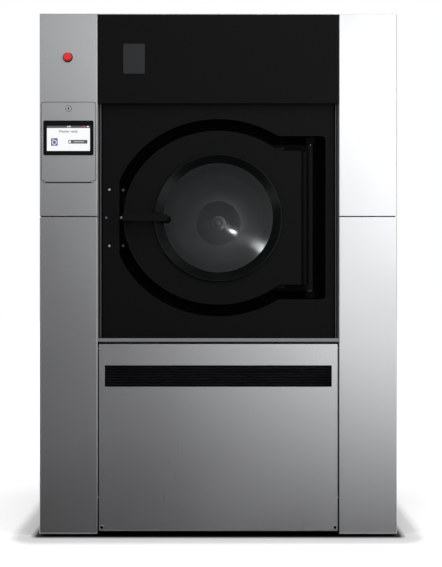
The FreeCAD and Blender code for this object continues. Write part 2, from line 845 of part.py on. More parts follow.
def make_vent():
    """Black grille: a flange behind the panel, a frame in its opening, and a row of slats."""
    body = new_body("vent_grille")
    inner_side = "vent_half_width - vent_border"
    inner_bottom = "vent_bottom + vent_border"
    inner_top = "vent_top - vent_border"
    hole = rectangle(f"-({inner_side})", inner_side, inner_bottom, inner_top)
    pad(body, "y", "front_y", "vent_depth",
        rectangle("-vent_half_width", "vent_half_width", "vent_bottom", "vent_top"), hole)
    pad(body, "y", "front_y + sheet_thickness", "vent_depth - sheet_thickness",
        rectangle("-vent_half_width - vent_flange", "vent_half_width + vent_flange",
                  "vent_bottom - vent_flange", "vent_top + vent_flange"), hole)
    pitch = "(vent_height - 2 * vent_border) / (slat_count + 1)"
    first = f"{inner_bottom} + {pitch}"
    slat = pad(body, "y", "front_y", "vent_depth",
               rectangle("-vent_half_width + vent_border / 2", "vent_half_width - vent_border / 2",
                         f"{first} - slat_height / 2", f"{first} + slat_height / 2"))
    row = body.newObject("PartDesign::LinearPattern", "vent_slats")
    row.Originals = [slat]
    row.Direction = (slat.Profile[0], ["V_Axis"])
    bind(row, Length=f"{pitch} * (slat_count - 1)", Occurrences="slat_count")
    body.Tip = row
    node("vent_grille", body)


def make_fasteners():
    """Quarter-turn heads and side catches of the lower panel, and screws of the door panel."""
    pieces = []
    for side in (-1, 1):
        pieces.append(rod("quarter_turn", "y", "quarter_turn_radius",
                          (f"{side} * (lower_edge - quarter_turn_inset)", "front_y - quarter_turn_stand",
                           "lower_panel_bottom + quarter_turn_rise"), "quarter_turn_stand"))
        start = "lower_edge" if side > 0 else "-column_inner"
        for height in ("lower_panel_top - catch_drop", "lower_panel_bottom + catch_rise"):
            pieces.append(rod("side_catch", "x", "catch_radius", (start, "front_y + catch_setback", height),
                              "lower_panel_gap"))
        pieces.append(rod("panel_screw", "y", "panel_screw_radius",
                          ("panel_screw_inset - panel_edge", "panel_front_y - panel_screw_stand",
                           f"drum_axis_height + {side} * panel_screw_pitch"), "panel_screw_stand"))
    node("front_fasteners", group("front_fasteners", *pieces))


def make_badge():
    left = "-badge_center_x - badge_width / 2"
    right = "-badge_center_x + badge_width / 2"
    bottom = "badge_center_z - badge_height / 2"
    top = "badge_center_z + badge_height / 2"
    plate = prism("badge_plate", "y", "front_y - badge_thickness", "badge_thickness",
                  rectangle(left, right, bottom, top))
    corners = [(side, level) for side in (left, right) for level in (bottom, top)]
    node("badge_plate", round_edges(plate, "badge_corner", "y", corners))


# Soft mount: cradle, air springs and dampers

def make_cradle():
    front_end = "spring_front_y - cradle_end_gap"
    back_end = "spring_back_y + cradle_end_gap"
    half = "cradle_beam_width / 2"
    inner = f"spring_x - {half}"
    bars = [box("cradle_beam", (f"{side} * spring_x - {half}", front_end, "cradle_bottom"),
                (f"{side} * spring_x + {half}", back_end, "cradle_top")) for side in (-1, 1)]
    bars += [box("cradle_cross", (f"-({inner})", f"{row} - {half}", "cradle_bottom"),
                 (inner, f"{row} + {half}", "cradle_top"))
             for row in ("spring_front_y", "spring_back_y")]
    bars.append(box("motor_table", (f"-({inner})", "motor_front_y", "cradle_top - motor_table_thickness"),
                    (inner, "motor_back_y", "cradle_top")))
    for start in ("tub_front_y + saddle_front_setback", "tub_back_y - saddle_back_setback"):
        bars.append(box("saddle", ("-saddle_half_width", start, "cradle_top"),
                        ("saddle_half_width", f"{start} + saddle_thickness", "drain_top + saddle_rise")))
    tub = rod("tub_space", "y", "tub_radius + saddle_fit", ("0", "tub_front_y", "drum_axis_height"),
              "tub_length")
    node("tub_cradle", cut("tub_cradle", fuse("cradle_bars", *bars), tub))


def corner_places(pitch):
    """The four support places under the cradle, at one spacing across."""
    rows = ("spring_front_y", "spring_back_y")
    return [(f"{side} * {pitch} / 2", row) for side in (-1, 1) for row in rows]


def make_springs():
    """Air springs: rubber bellows of two rolls between a lower and an upper plate."""
    roll = "(spring_height - 2 * spring_plate) / 2"
    base = "spring_plate"
    profile = [("0", "0"), ("0", "spring_waist"), (base, "spring_waist"),
               (f"{base} + {roll} / 4", "spring_radius"), (f"{base} + {roll} * 3 / 4", "spring_radius"),
               (f"{base} + {roll}", "spring_waist"), (f"{base} + {roll} * 5 / 4", "spring_radius"),
               (f"{base} + {roll} * 7 / 4", "spring_radius"), (f"{base} + {roll} * 2", "spring_waist"),
               ("spring_height", "spring_waist"), ("spring_height", "0")]
    springs = [turned("air_spring", "z", profile, x, y, "rail_top")
               for x, y in corner_places("spring_pitch_x")]
    node("air_springs", group("air_springs", *springs))


def make_dampers():
    """Upright telescopic dampers: tubes on the base, rods under the cradle."""
    guide = "damper_rod_radius + damper_fit"
    under_cap = "damper_length - damper_cap"
    profile = [("0", "0"), ("0", "damper_radius"), ("damper_length", "damper_radius"),
               ("damper_length", guide), (under_cap, guide), (under_cap, "damper_bore"),
               ("damper_foot", "damper_bore"), ("damper_foot", "0")]
    bodies = []
    rods = []
    start = "rail_top + damper_length - damper_rod_depth"
    for x, y in corner_places("damper_pitch_x"):
        bodies.append(turned("damper_tube", "z", profile, x, y, "rail_top"))
        rods.append(rod("damper_rod", "z", "damper_rod_radius", (x, y, start), f"cradle_bottom - ({start})"))
    node("damper_bodies", group("damper_bodies", *bodies))
    node("damper_rods", group("damper_rods", *rods))


# Tub, seal and bearings

def on_drum_axis(label, profile):
    """A piece turned about the drum axis, as a sub-part."""
    return node(label, turned(label, "y", profile, z="drum_axis_height"))


def make_tub():
    start = "tub_front_y + tub_end_thickness"
    inside = "tub_radius - tub_wall"
    back_face = "tub_back_y - tub_end_thickness"
    on_drum_axis("tub_shell", [(start, "tub_radius"), ("tub_back_y", "tub_radius"),
                               ("tub_back_y", "tub_shaft_hole_radius"), (back_face, "tub_shaft_hole_radius"),
                               (back_face, inside), (start, inside)])
    neck_front = "tub_front_y - neck_length"
    neck_outer = "neck_radius + neck_wall"
    on_drum_axis("tub_front", [(neck_front, "neck_radius"), (start, "neck_radius"), (start, "tub_radius"),
                               ("tub_front_y", "tub_radius"), ("tub_front_y", neck_outer),
                               (neck_front, neck_outer)])
    sleeve_inner = f"{neck_outer} + saddle_fit"
    sleeve_outer = f"{sleeve_inner} + seal_wall"
    sleeve_end = f"{neck_front} + seal_sleeve"
    on_drum_axis("door_seal", [("seal_front_y", "seal_inner_radius"), ("seal_front_y", "seal_outer_radius"),
                               (neck_front, sleeve_outer), (sleeve_end, sleeve_outer),
                               (sleeve_end, sleeve_inner), (neck_front, sleeve_inner),
                               (neck_front, "seal_inner_radius")])


def make_bearings():
    start = "tub_back_y"
    end = "housing_end_y"
    seat = "bearing_inset + bearing_width"
    flange_back = f"{start} + housing_flange_thickness"
    housing = on_drum_axis("bearing_housing", [
        (start, "bearing_outer_radius"), (start, "housing_flange_radius"),
        (flange_back, "housing_flange_radius"), (flange_back, "housing_radius"), (end, "housing_radius"),
        (end, "bearing_outer_radius"),
        (f"{end} - ({seat})", "bearing_outer_radius"), (f"{end} - ({seat})", "housing_bore_radius"),
        (f"{start} + {seat}", "housing_bore_radius"), (f"{start} + {seat}", "bearing_outer_radius")])
    axis_sketch = housing.Group[0]
    root = "(housing_radius + housing_bore_radius) / 2"
    rib = pad(housing, "x", "-rib_thickness / 2", "rib_thickness",
              [(flange_back, root), (flange_back, "housing_flange_radius - rib_thickness"),
               (f"{end} - bearing_width", "housing_radius + rib_thickness"),
               (f"{end} - bearing_width", root)])
    around(housing, rib, axis_sketch, "rib_count")
    inner = "shaft_radius + shaft_fit"
    outer = "bearing_outer_radius - shaft_fit"
    bearings = []
    for near in (f"{start} + bearing_inset", f"{end} - ({seat})"):
        far = f"{near} + bearing_width"
        ring = [(near, inner), (near, outer), (far, outer), (far, inner)]
        bearings.append(turned("drum_bearing", "y", ring, z="drum_axis_height"))
    node("drum_bearings", group("drum_bearings", *bearings))


def around(body, feature, axis_sketch, count):
    """Repeats one feature of a body round the axis that its first sketch was turned about."""
    pattern = body.newObject("PartDesign::PolarPattern", body.Name + "_around")
    pattern.Originals = [feature]
    pattern.Axis = (axis_sketch, ["H_Axis"])
    pattern.Angle = 360
    bind(pattern, Occurrences=count)
    body.Tip = pattern


def make_drum():
    wall = "drum_wall"
    front = "drum_front_y"
    inside = "drum_radius - drum_wall"
    lip_back = "drum_front_y + drum_lip"
    on_drum_axis("drum_shell", [(front, "drum_mouth_radius"), (front, "drum_radius"),
                                ("drum_back_y", "drum_radius"), ("drum_back_y", inside),
                                (f"{front} + {wall}", inside),
                                (f"{front} + {wall}", f"drum_mouth_radius + {wall}"),
                                (lip_back, f"drum_mouth_radius + {wall}"), (lip_back, "drum_mouth_radius")])
    hub_front = "drum_back_y - drum_hub_stand"
    cap_front = f"{hub_front} - drum_hub_cap_stand"
    on_drum_axis("drum_back", [("spider_y", "0"), ("spider_y", "drum_radius"), ("drum_back_y", "drum_radius"),
                               ("drum_back_y", "drum_hub_radius"),
                               (hub_front, "drum_hub_radius - drum_hub_stand"),
                               (hub_front, "drum_hub_cap_radius"),
                               (cap_front, "drum_hub_cap_radius - drum_hub_cap_stand"), (cap_front, "0")])
    spider_back = "spider_y + spider_thickness"
    on_drum_axis("drum_shaft", [("spider_y", "0"), ("spider_y", "spider_radius"),
                                (spider_back, "spider_radius"), (spider_back, "shaft_radius"),
                                ("shaft_end_y", "shaft_radius"), ("shaft_end_y", "0")])
    seat = "sqrt((drum_radius - drum_wall - saddle_fit)^2 - (lifter_base / 2)^2)"
    crest = f"lifter_height - {seat}"
    outline = [("-lifter_base / 2", f"-{seat}"), ("lifter_base / 2", f"-{seat}"), ("lifter_crest / 2", crest),
               ("-lifter_crest / 2", crest)]
    lifters = []
    count = int(value("lifter_count"))
    for number in range(count):
        lifter = prism("drum_lifter", "y", f"{front} + {wall} + lifter_end_gap",
                       f"drum_length - {wall} - 2 * lifter_end_gap", outline)
        round_edges(lifter, "lifter_round", "y", outline[2:])
        lifter.Placement = Placement(Vector(), Rotation(Vector(0, 1, 0), 360 * number / count))
        lifters.append(place(lifter, z="drum_axis_height"))
    node("drum_lifters", group("drum_lifters", *lifters))


# Drive: pulleys, belt and motor

def pulley_profile(radius, rim, hub, bore):
    """Rim, web and hub of a flat belt pulley."""
    start = "pulley_y"
    end = "pulley_y + pulley_width"
    web_front = "pulley_y + (pulley_width - pulley_web) / 2"
    web_back = f"{web_front} + pulley_web"
    inner = f"{radius} - {rim}"
    return [(start, bore), (start, hub), (web_front, hub), (web_front, inner), (start, inner),
            (start, radius), (end, radius), (end, inner), (web_back, inner), (web_back, hub), (end, hub),
            (end, bore)]


def belt_block(label, grow):
    """A solid round both pulleys, grown outwards: two discs and the straight runs between them."""
    large = f"(pulley_radius + {grow})"
    small = f"(motor_pulley_radius + {grow})"
    rise = "((motor_pulley_radius - pulley_radius) / belt_distance)"
    reach = f"sqrt(1 - {rise}^2)"
    upper = f"drum_axis_height + {large} * {rise}"
    lower = f"motor_z + {small} * {rise}"
    start = "pulley_y + belt_edge"
    width = "pulley_width - 2 * belt_edge"
    runs = prism(label + "_runs", "y", start, width,
                 [(f"-{large} * {reach}", upper), (f"-{small} * {reach}", lower),
                  (f"{small} * {reach}", lower), (f"{large} * {reach}", upper)])
    return fuse(label, runs, rod(label + "_large", "y", large, ("0", start, "drum_axis_height"), width),
                rod(label + "_small", "y", small, ("0", start, "motor_z"), width))


def make_drive():
    bore = "shaft_radius + shaft_fit"
    on_drum_axis("drum_pulley", pulley_profile("pulley_radius", "pulley_rim", "pulley_hub_radius", bore))
    small_bore = "motor_shaft_radius + shaft_fit"
    small = [("pulley_y", small_bore), ("pulley_y", "motor_pulley_radius"),
             ("pulley_y + pulley_width", "motor_pulley_radius"), ("pulley_y + pulley_width", small_bore)]
    node("motor_pulley", turned("motor_pulley", "y", small, z="motor_z"))
    node("drive_belt", cut("drive_belt", belt_block("belt_outside", "belt_gap + belt_thickness"),
                           belt_block("belt_inside", "belt_gap")))
    shaft_start = "motor_back_y - motor_length / 2"
    shaft_end = "pulley_y + pulley_width"
    node("motor_shaft", rod("motor_shaft", "y", "motor_shaft_radius", ("0", shaft_start, "motor_z"),
                            f"{shaft_end} - ({shaft_start})"))
    bell = "motor_radius - motor_shaft_radius"
    profile = [("motor_front_y", "0"), ("motor_front_y", bell),
               ("motor_front_y + motor_shaft_radius", "motor_radius"),
               ("motor_back_y - motor_shaft_radius", "motor_radius"), ("motor_back_y", bell),
               ("motor_back_y", small_bore), (shaft_start, small_bore), (shaft_start, "0")]
    motor = turned("motor_body", "y", profile, z="motor_z")
    axis_sketch = motor.Group[0]
    fin = pad(motor, "y", "motor_front_y + motor_shaft_radius", "motor_length - 2 * motor_shaft_radius",
              rectangle("-motor_fin_thickness / 2", "motor_fin_thickness / 2",
                        "motor_radius - motor_fin_height", "motor_radius + motor_fin_height"))
    around(motor, fin, axis_sketch, "motor_fin_count")
    pad(motor, "y", "(motor_front_y + motor_back_y - motor_foot_length) / 2", "motor_foot_length",
        rectangle("-motor_foot_width / 2", "motor_foot_width / 2", "cradle_top - motor_z",
                  "-motor_radius * 3 / 4"))
    node("motor_body", motor)


# Drain

def make_drain():
    """Valve under the tub whose spigot slips into the fixed outlet pipe."""
    spigot = "drain_radius - drain_wall - drain_slip"
    valve = rod("valve_block", "z", "drain_valve_radius", ("0", "drain_y", "valve_bottom"),
                "drain_valve_length + drain_wall * 2")
    tail = rod("valve_tail", "z", spigot, ("0", "drain_y", "spigot_bottom"), "drain_spigot_length")
    bore = rod("valve_bore", "z", f"{spigot} - drain_wall", ("0", "drain_y", "spigot_bottom"),
               "drain_spigot_length + drain_valve_length + drain_valve_radius")
    tub = rod("tub_belly", "y", "tub_radius", ("0", "tub_front_y", "drum_axis_height"), "tub_length")
    node("drain_valve", cut("drain_valve", fuse("valve_body", valve, tail), bore, tub))

    def elbow(label, radius, end):
        """An upright and a level run that meet in a ball."""
        height = "spigot_bottom + drain_insertion - drain_outlet_height"
        upright = rod(label + "_upright", "z", radius, ("0", "drain_y", "drain_outlet_height"), height)
        level = rod(label + "_level", "y", radius, ("0", "drain_y", "drain_outlet_height"),
                    f"{end} - (drain_y)")
        ball = doc.addObject("Part::Sphere", label + "_ball")
        bind(ball, Radius=radius)
        return fuse(label, upright, level, place(ball, "0", "drain_y", "drain_outlet_height"))

    outlet_end = "back_y + drain_outlet_stand"
    collar = rod("outlet_collar", "y", "drain_radius + drain_collar", ("0", "back_y", "drain_outlet_height"),
                 "drain_collar")
    outside = fuse("outlet_outside", elbow("outlet_run", "drain_radius", outlet_end), collar)
    inside = elbow("outlet_bore", "drain_radius - drain_wall", outlet_end)
    node("drain_pipe", cut("drain_pipe", outside, inside))


# Door with its hinge and lever

def door_form(label, inset):
    """The door's oval with its square hinge side, drawn in by an inset."""
    start = f"door_front_y + {inset}"
    end = f"door_back_y + {inset}"
    edge = f"door_block_reach - {inset}"
    round_part = oval(label + "_oval", f"door_half_width - {inset}", f"door_half_height - {inset}", start,
                      "door_thickness")
    beyond = box(label + "_beyond", (edge, start, "drum_axis_height - door_half_height"),
                 ("door_block_reach + door_half_width", end, "drum_axis_height + door_half_height"))
    block = box(label + "_block", ("0", start, f"drum_axis_height - door_block_half_height + {inset}"),
                (edge, end, f"drum_axis_height + door_block_half_height - {inset}"))
    return fuse(label, cut(label + "_round", round_part, beyond), block)


def make_door():
    height = "drum_axis_height"
    outside = door_form("door_outside", "0")
    inside = door_form("door_inside", "door_skin")
    boss = rod("window_boss", "y", "ring_outer_radius", ("0", "door_front_y", height), "door_thickness")
    seat = rod("glass_seat", "y", "glass_flange_radius + glass_seat_fit", ("0", "door_front_y", height),
               "glass_thickness")
    bore = rod("bowl_bore", "y", "bowl_mouth_radius + bowl_bore_gap", ("0", "door_front_y", height),
               "door_thickness")
    pan = fuse("door_pan", cut("door_skin_shell", outside, inside), boss)
    node("door_plate", cut("door_plate", pan, seat, bore))
    front = "door_front_y"
    on_drum_axis("glass_ring", [(front, "ring_inner_radius"), (f"{front} - ring_lip", "ring_inner_radius"),
                                (f"{front} - ring_stand", "ring_outer_radius - ring_lip - ring_land"),
                                (f"{front} - ring_stand", "ring_outer_radius - ring_lip"),
                                (f"{front} - ring_stand + ring_lip", "ring_outer_radius"),
                                (front, "ring_outer_radius")])
    wall = "glass_thickness"
    flange_back = f"{front} + {wall}"
    end = f"{flange_back} + bowl_depth"
    on_drum_axis("door_glass", [(front, "glass_flange_radius"), (flange_back, "glass_flange_radius"),
                                (flange_back, "bowl_mouth_radius"), (end, "bowl_end_radius"),
                                (f"{end} + bowl_dome", "bowl_end_radius / 2"), (f"{end} + bowl_dome", "0"),
                                (f"{end} + bowl_dome - {wall}", "0"),
                                (f"{end} + bowl_dome - {wall}", "bowl_end_radius / 2"),
                                (f"{end} - {wall}", f"bowl_end_radius - {wall}"),
                                (front, f"bowl_mouth_radius - {wall}")])
    return outside


def make_hinge(door_outside):
    height = "drum_axis_height"
    half = "hinge_tube_half_length"
    bottom = f"{height} - {half}"
    pieces = [rod("knuckle_tube", "z", "hinge_tube_radius", ("hinge_reach", "hinge_y", bottom),
                  f"2 * {half}"),
              box("hinge_leaf", ("door_block_reach", "hinge_y - hinge_leaf_thickness / 2",
                                 f"{height} - door_block_half_height"),
                  ("hinge_reach", "hinge_y + hinge_leaf_thickness / 2",
                   f"{height} + door_block_half_height"))]
    for low, high in ((bottom, f"{bottom} + hinge_arm_height"),
                      (f"{height} + {half} - hinge_arm_height", f"{height} + {half}")):
        pieces.append(box("hinge_arm", ("hinge_reach - hinge_arm_length",
                                        "hinge_y - hinge_arm_thickness / 2", low),
                          ("hinge_reach", "hinge_y + hinge_arm_thickness / 2", high)))
    bore = rod("hinge_bore", "z", "hinge_pin_radius + hinge_pin_fit", ("hinge_reach", "hinge_y", bottom),
               f"2 * {half}")
    node("hinge_tube", cut("hinge_tube", fuse("hinge_weldment", *pieces), bore, door_outside))

    reach = f"({half} + hinge_end_gap)"
    pin_bottom = f"{height} - {reach} - hinge_bracket_height"
    pin_length = f"2 * ({reach} + hinge_bracket_height)"
    node("hinge_pin", rod("hinge_pin", "z", "hinge_pin_radius", ("hinge_reach", "hinge_y", pin_bottom),
                          pin_length))
    brackets = []
    left = "hinge_reach - hinge_bracket_half_width"
    right = "hinge_reach + hinge_bracket_half_width"
    nose = "hinge_y - hinge_bracket_nose"
    for start in (pin_bottom, f"{height} + {reach}"):
        bracket = prism("hinge_bracket", "z", start, "hinge_bracket_height",
                        rectangle(left, right, nose, "tub_front_y"),
                        ("hinge_reach", "hinge_y", "hinge_pin_radius + hinge_pin_fit"))
        brackets.append(round_edges(bracket, "hinge_bracket_nose - hinge_bracket_round", "z",
                                    [(left, nose), (right, nose)]))
    node("hinge_brackets", group("hinge_brackets", *brackets))


def make_keeper():
    """Latch keeper on the tub front, with its bright stud and two bolt heads."""
    height = "drum_axis_height"
    front = "door_back_y + keeper_gap"
    left = "-door_half_width - keeper_door_gap"
    plate = box("keeper_plate", (left, front, f"{height} - keeper_half_height"),
                (f"{left} + keeper_width", "tub_front_y", f"{height} + keeper_half_height"))
    stud_x = "-door_half_width - keeper_stud_gap - keeper_stud_radius"
    stud = rod("keeper_stud", "y", "keeper_stud_radius", (stud_x, f"{front} - keeper_stud_length", height),
               "keeper_stud_length")
    bolts = [rod("keeper_bolt", "y", "keeper_bolt_radius",
                 (f"{left} + keeper_width / 2", f"{front} - keeper_bolt_stand",
                  f"{height} + {side} * keeper_bolt_pitch"), "keeper_bolt_stand") for side in (-1, 1)]
    node("latch_keeper", fuse("latch_keeper", plate, stud, *bolts))


def make_handle():
    height = "drum_axis_height"
    pivot = ("-handle_pivot_reach", "door_front_y - handle_pivot_stand")
    bar_back = f"{pivot[1]} - handle_back_gap"
    left = "handle_left_inset - door_half_width"
    right = "handle_ring_overlap - ring_outer_radius"
    neck = f"{left} - handle_neck_length"
    levels = {name: f"{height} + {factor} / 2" for name, factor in
              (("low", "-handle_height"), ("high", "handle_height"), ("neck_low", "-handle_neck_height"),
               ("neck_high", "handle_neck_height"))}
    bar = prism("handle_bar", "y", f"{bar_back} - handle_depth", "handle_depth",
                [(neck, levels["neck_low"]), (left, levels["low"]), (right, levels["low"]),
                 (right, levels["high"]), (left, levels["high"]), (neck, levels["neck_high"])])
    round_edges(bar, "handle_height / 2 - handle_end_flat", "y",
                [(right, levels["low"]), (right, levels["high"])])
    low = f"{height} - handle_knuckle_height / 2"
    high = f"{height} + handle_knuckle_height / 2"
    knuckle = rod("handle_knuckle", "z", "handle_knuckle_radius", (*pivot, low), "handle_knuckle_height")
    web = box("handle_web", (f"{pivot[0]} - handle_pin_radius * 2", bar_back, low),
              (f"{pivot[0]} + handle_pin_radius * 2", pivot[1], high))
    bore = rod("handle_bore", "z", "handle_pin_radius + handle_pin_fit", (*pivot, low),
               "handle_knuckle_height")
    node("door_handle", cut("door_handle", fuse("handle_lever", bar, knuckle, web), bore))

    pieces = [rod("handle_pin", "z", "handle_pin_radius", (*pivot, levels["low"]), "handle_height"),
              box("lug_base", (f"{pivot[0]} - handle_lug_radius", "door_front_y - handle_lug_base",
                               levels["low"]),
                  (f"{pivot[0]} + handle_lug_radius", "door_front_y", levels["high"]))]
    for start, end in ((levels["low"], f"{low} - handle_lug_gap"),
                       (f"{high} + handle_lug_gap", levels["high"])):
        pieces.append(rod("lug_eye", "z", "handle_lug_radius", (*pivot, start), f"{end} - ({start})"))
        pieces.append(box("lug_root", (f"{pivot[0]} - handle_lug_radius", pivot[1], start),
                          (f"{pivot[0]} + handle_lug_radius", "door_front_y", end)))
    node("handle_pivot", fuse("handle_pivot", *pieces))


# Emergency stop

def make_estop():
    bore = "estop_stem_radius + estop_fit"
    collar_front = "front_y - estop_collar_thickness"
    barrel_end = "front_y + estop_barrel_length"
    base = turned("estop_base", "y", [
        (collar_front, bore), (collar_front, "estop_barrel_radius + estop_collar_thickness"),
        ("front_y", "estop_collar_radius"), ("front_y", "estop_barrel_radius"),
        (barrel_end, "estop_barrel_radius"), (barrel_end, bore)], x="estop_x", z="estop_height")
    half = "estop_block_size / 2"
    pad(base, "y", barrel_end, "estop_block_depth", rectangle(f"-{half}", half, f"-{half}", half))
    node("estop_base", base)
    head_back = f"{collar_front} - estop_travel_gap"
    head_front = f"{head_back} - estop_head_length"
    socket = "estop_head_length / 2"
    stem_start = f"{head_back} - {socket} + estop_fit"
    stem_end = "front_y + estop_collar_thickness"
    node("estop_stem", rod("estop_stem", "y", "estop_stem_radius", ("estop_x", stem_start, "estop_height"),
                           f"{stem_end} - ({stem_start})"))
    dome = "estop_head_radius / 4"
    head = turned("estop_head", "y", [
        (head_back, bore), (head_back, "estop_head_radius - estop_collar_thickness"),
        (f"{head_back} - estop_collar_thickness", "estop_head_radius"),
        (f"{head_front} + {dome}", "estop_head_radius"),
        (head_front, f"estop_head_radius - {dome}"), (head_front, "0"), (f"{head_back} - {socket}", "0"),
        (f"{head_back} - {socket}", bore)], x="estop_x", z="estop_height")
    node("estop_head", head)


# Control door, its display and lock, and the box behind it

def make_control_box():
    left = "control_left + control_overlap - control_box_margin"
    right = "control_right - control_overlap + control_box_margin"
    bottom = "control_bottom - control_stand - control_box_margin"
    top = "control_top - control_overlap + control_box_margin"
    front = "front_y + sheet_thickness"
    wall = "control_box_wall"
    shell = prism("control_shell", "y", front, "control_box_depth", rectangle(left, right, bottom, top))
    pocket(shell, "y", front, f"control_box_depth - {wall}",
           rectangle(f"{left} + {wall}", f"{right} - {wall}", f"{bottom} + {wall}", f"{top} - {wall}"))
    low = "knuckle_z - knuckle_radius + control_ear_gap"
    high = "knuckle_z + knuckle_radius - control_ear_gap"
    ear_back = f"{front} + control_box_margin"
    pieces = [shell]
    sides = ((left, "control_left + control_overlap + control_ear_gap",
              "control_left + control_overlap + control_ear_gap + ear_thickness"),
             (right, "control_right - control_overlap - control_ear_gap",
              "control_right - control_overlap - control_ear_gap - ear_thickness"))
    for wall_side, outer, inner in sides:
        near, far = (outer, inner) if wall_side is left else (inner, outer)
        pieces.append(box("hinge_ear", (near, "control_back_y - knuckle_radius + control_stand", low),
                          (far, ear_back, high)))
        start, end = (wall_side, inner) if wall_side is left else (inner, wall_side)
        pieces.append(box("ear_root", (start, f"{front} + control_box_wall", low), (end, ear_back, high)))
    pin_start = sides[0][1]
    pin = rod("control_pin", "x", "knuckle_pin_radius", (pin_start, "control_back_y", "knuckle_z"),
              f"{sides[1][1]} - ({pin_start})")
    node("control_box", fuse("control_box", *pieces, pin))


def make_control_door():
    body = new_body("control_door")
    step = "knuckle_z + knuckle_radius + control_stand"
    tab_left = "control_left + knuckle_inset"
    tab_right = "control_right - knuckle_inset"
    pad(body, "y", "control_front_y", "control_thickness",
        [("control_left", step), (tab_left, step), (tab_left, "knuckle_z"), (tab_right, "knuckle_z"),
         (tab_right, step), ("control_right", step), ("control_right", "control_top"),
         ("control_left", "control_top")])
    corners = [(side, level) for side in ("control_left", "control_right") for level in (step, "control_top")]
    round_edges(body, "control_corner", "y", corners)
    pad(body, "x", tab_left, f"{tab_right} - ({tab_left})", ("control_back_y", "knuckle_z", "knuckle_radius"))
    pocket(body, "x", tab_left, f"{tab_right} - ({tab_left})",
           ("control_back_y", "knuckle_z", "knuckle_pin_radius + knuckle_fit"))
    window_left = "control_center - screen_width / 2 - screen_fit"
    window_right = "control_center + screen_width / 2 + screen_fit"
    window_bottom = "screen_bottom - screen_fit"
    window_top = "screen_bottom + screen_height + screen_fit"
    window = rectangle(window_left, window_right, window_bottom, window_top)
    pocket(body, "y", "control_front_y", "control_thickness", window,
           ("control_center", "lock_z", "lock_barrel_radius + lock_fit"))
    node("control_door", body)

    left = "control_center - bezel_width / 2"
    right = "control_center + bezel_width / 2"
    top = "bezel_bottom + bezel_height"
    bezel = prism("display_bezel", "y", "control_front_y - bezel_thickness", "bezel_thickness",
                  rectangle(left, right, "bezel_bottom", top), window)
    corners = [(side, level) for side in (left, right) for level in ("bezel_bottom", top)]
    node("display_bezel", round_edges(bezel, "bezel_corner", "y", corners))

    screen = prism("touchscreen", "y", "control_front_y - bezel_thickness + screen_inset",
                   "bezel_thickness - screen_inset + control_thickness",
                   rectangle("control_center - screen_width / 2", "control_center + screen_width / 2",
                             "screen_bottom", "screen_bottom + screen_height"))
    pad(screen, "y", "control_back_y", "display_depth",
        rectangle("control_center - screen_width / 2 - display_margin",
                  "control_center + screen_width / 2 + display_margin", "screen_bottom - display_margin",
                  "screen_bottom + screen_height + display_margin"))
    node("touchscreen", screen)


def make_lock():
    """Cam lock of the control door: a round head, its barrel, and a cam that lies level when open."""
    barrel_end = "control_back_y + lock_barrel_length"
    lock = turned("cam_lock", "y", [
        ("control_front_y - lock_head_stand", "0"), ("control_front_y - lock_head_stand", "lock_head_radius"),
        ("control_front_y", "lock_head_radius"), ("control_front_y", "lock_barrel_radius"),
        (barrel_end, "lock_barrel_radius"), (barrel_end, "0")], x="control_center", z="lock_z")
    half = "lock_cam_height / 2"
    pad(lock, "y", f"{barrel_end} - lock_cam_thickness", "lock_cam_thickness",
        rectangle("0", "lock_cam_length", f"-{half}", half))
    pocket(lock, "y", "control_front_y - lock_head_stand", "lock_head_stand / 2",
           rectangle("-lock_slot_width / 2", "lock_slot_width / 2", f"-{half}", half))
    node("cam_lock", lock)


# Services at the rear

def inlet_x(number):
    return f"inlet_center_x + ({number} - (inlet_count - 1) / 2) * inlet_pitch"


def make_inlets():
    """Water valves: a threaded stub outside the rear panel, a body and an upright coil inside."""
    valves = []
    for number in range(int(value("inlet_count"))):
        x = inlet_x(number)
        inner_face = "back_y - sheet_thickness"
        body_front = f"{inner_face} - inlet_body_length"
        stub = "inlet_flange_thickness + inlet_thread_length"
        half = "inlet_body_size / 2"
        pieces = [rod("inlet_thread", "y", "inlet_thread_radius", (x, inner_face, "inlet_height"),
                      f"sheet_thickness + {stub}"),
                  rod("inlet_flange", "y", "inlet_flange_radius", (x, "back_y", "inlet_height"),
                      "inlet_flange_thickness"),
                  box("inlet_body", (f"{x} - {half}", body_front, f"inlet_height - {half}"),
                      (f"{x} + {half}", inner_face, f"inlet_height + {half}")),
                  rod("inlet_coil", "z", "inlet_coil_radius",
                      (x, f"{inner_face} - inlet_body_length / 2", f"inlet_height + {half}"),
                      "inlet_coil_height")]
        bore = rod("inlet_bore", "y", "inlet_bore_radius", (x, "back_y", "inlet_height"), stub)
        valves.append(cut("inlet_valve", fuse("inlet_solid", *pieces), bore))
    node("inlet_valves", group("inlet_valves", *valves))


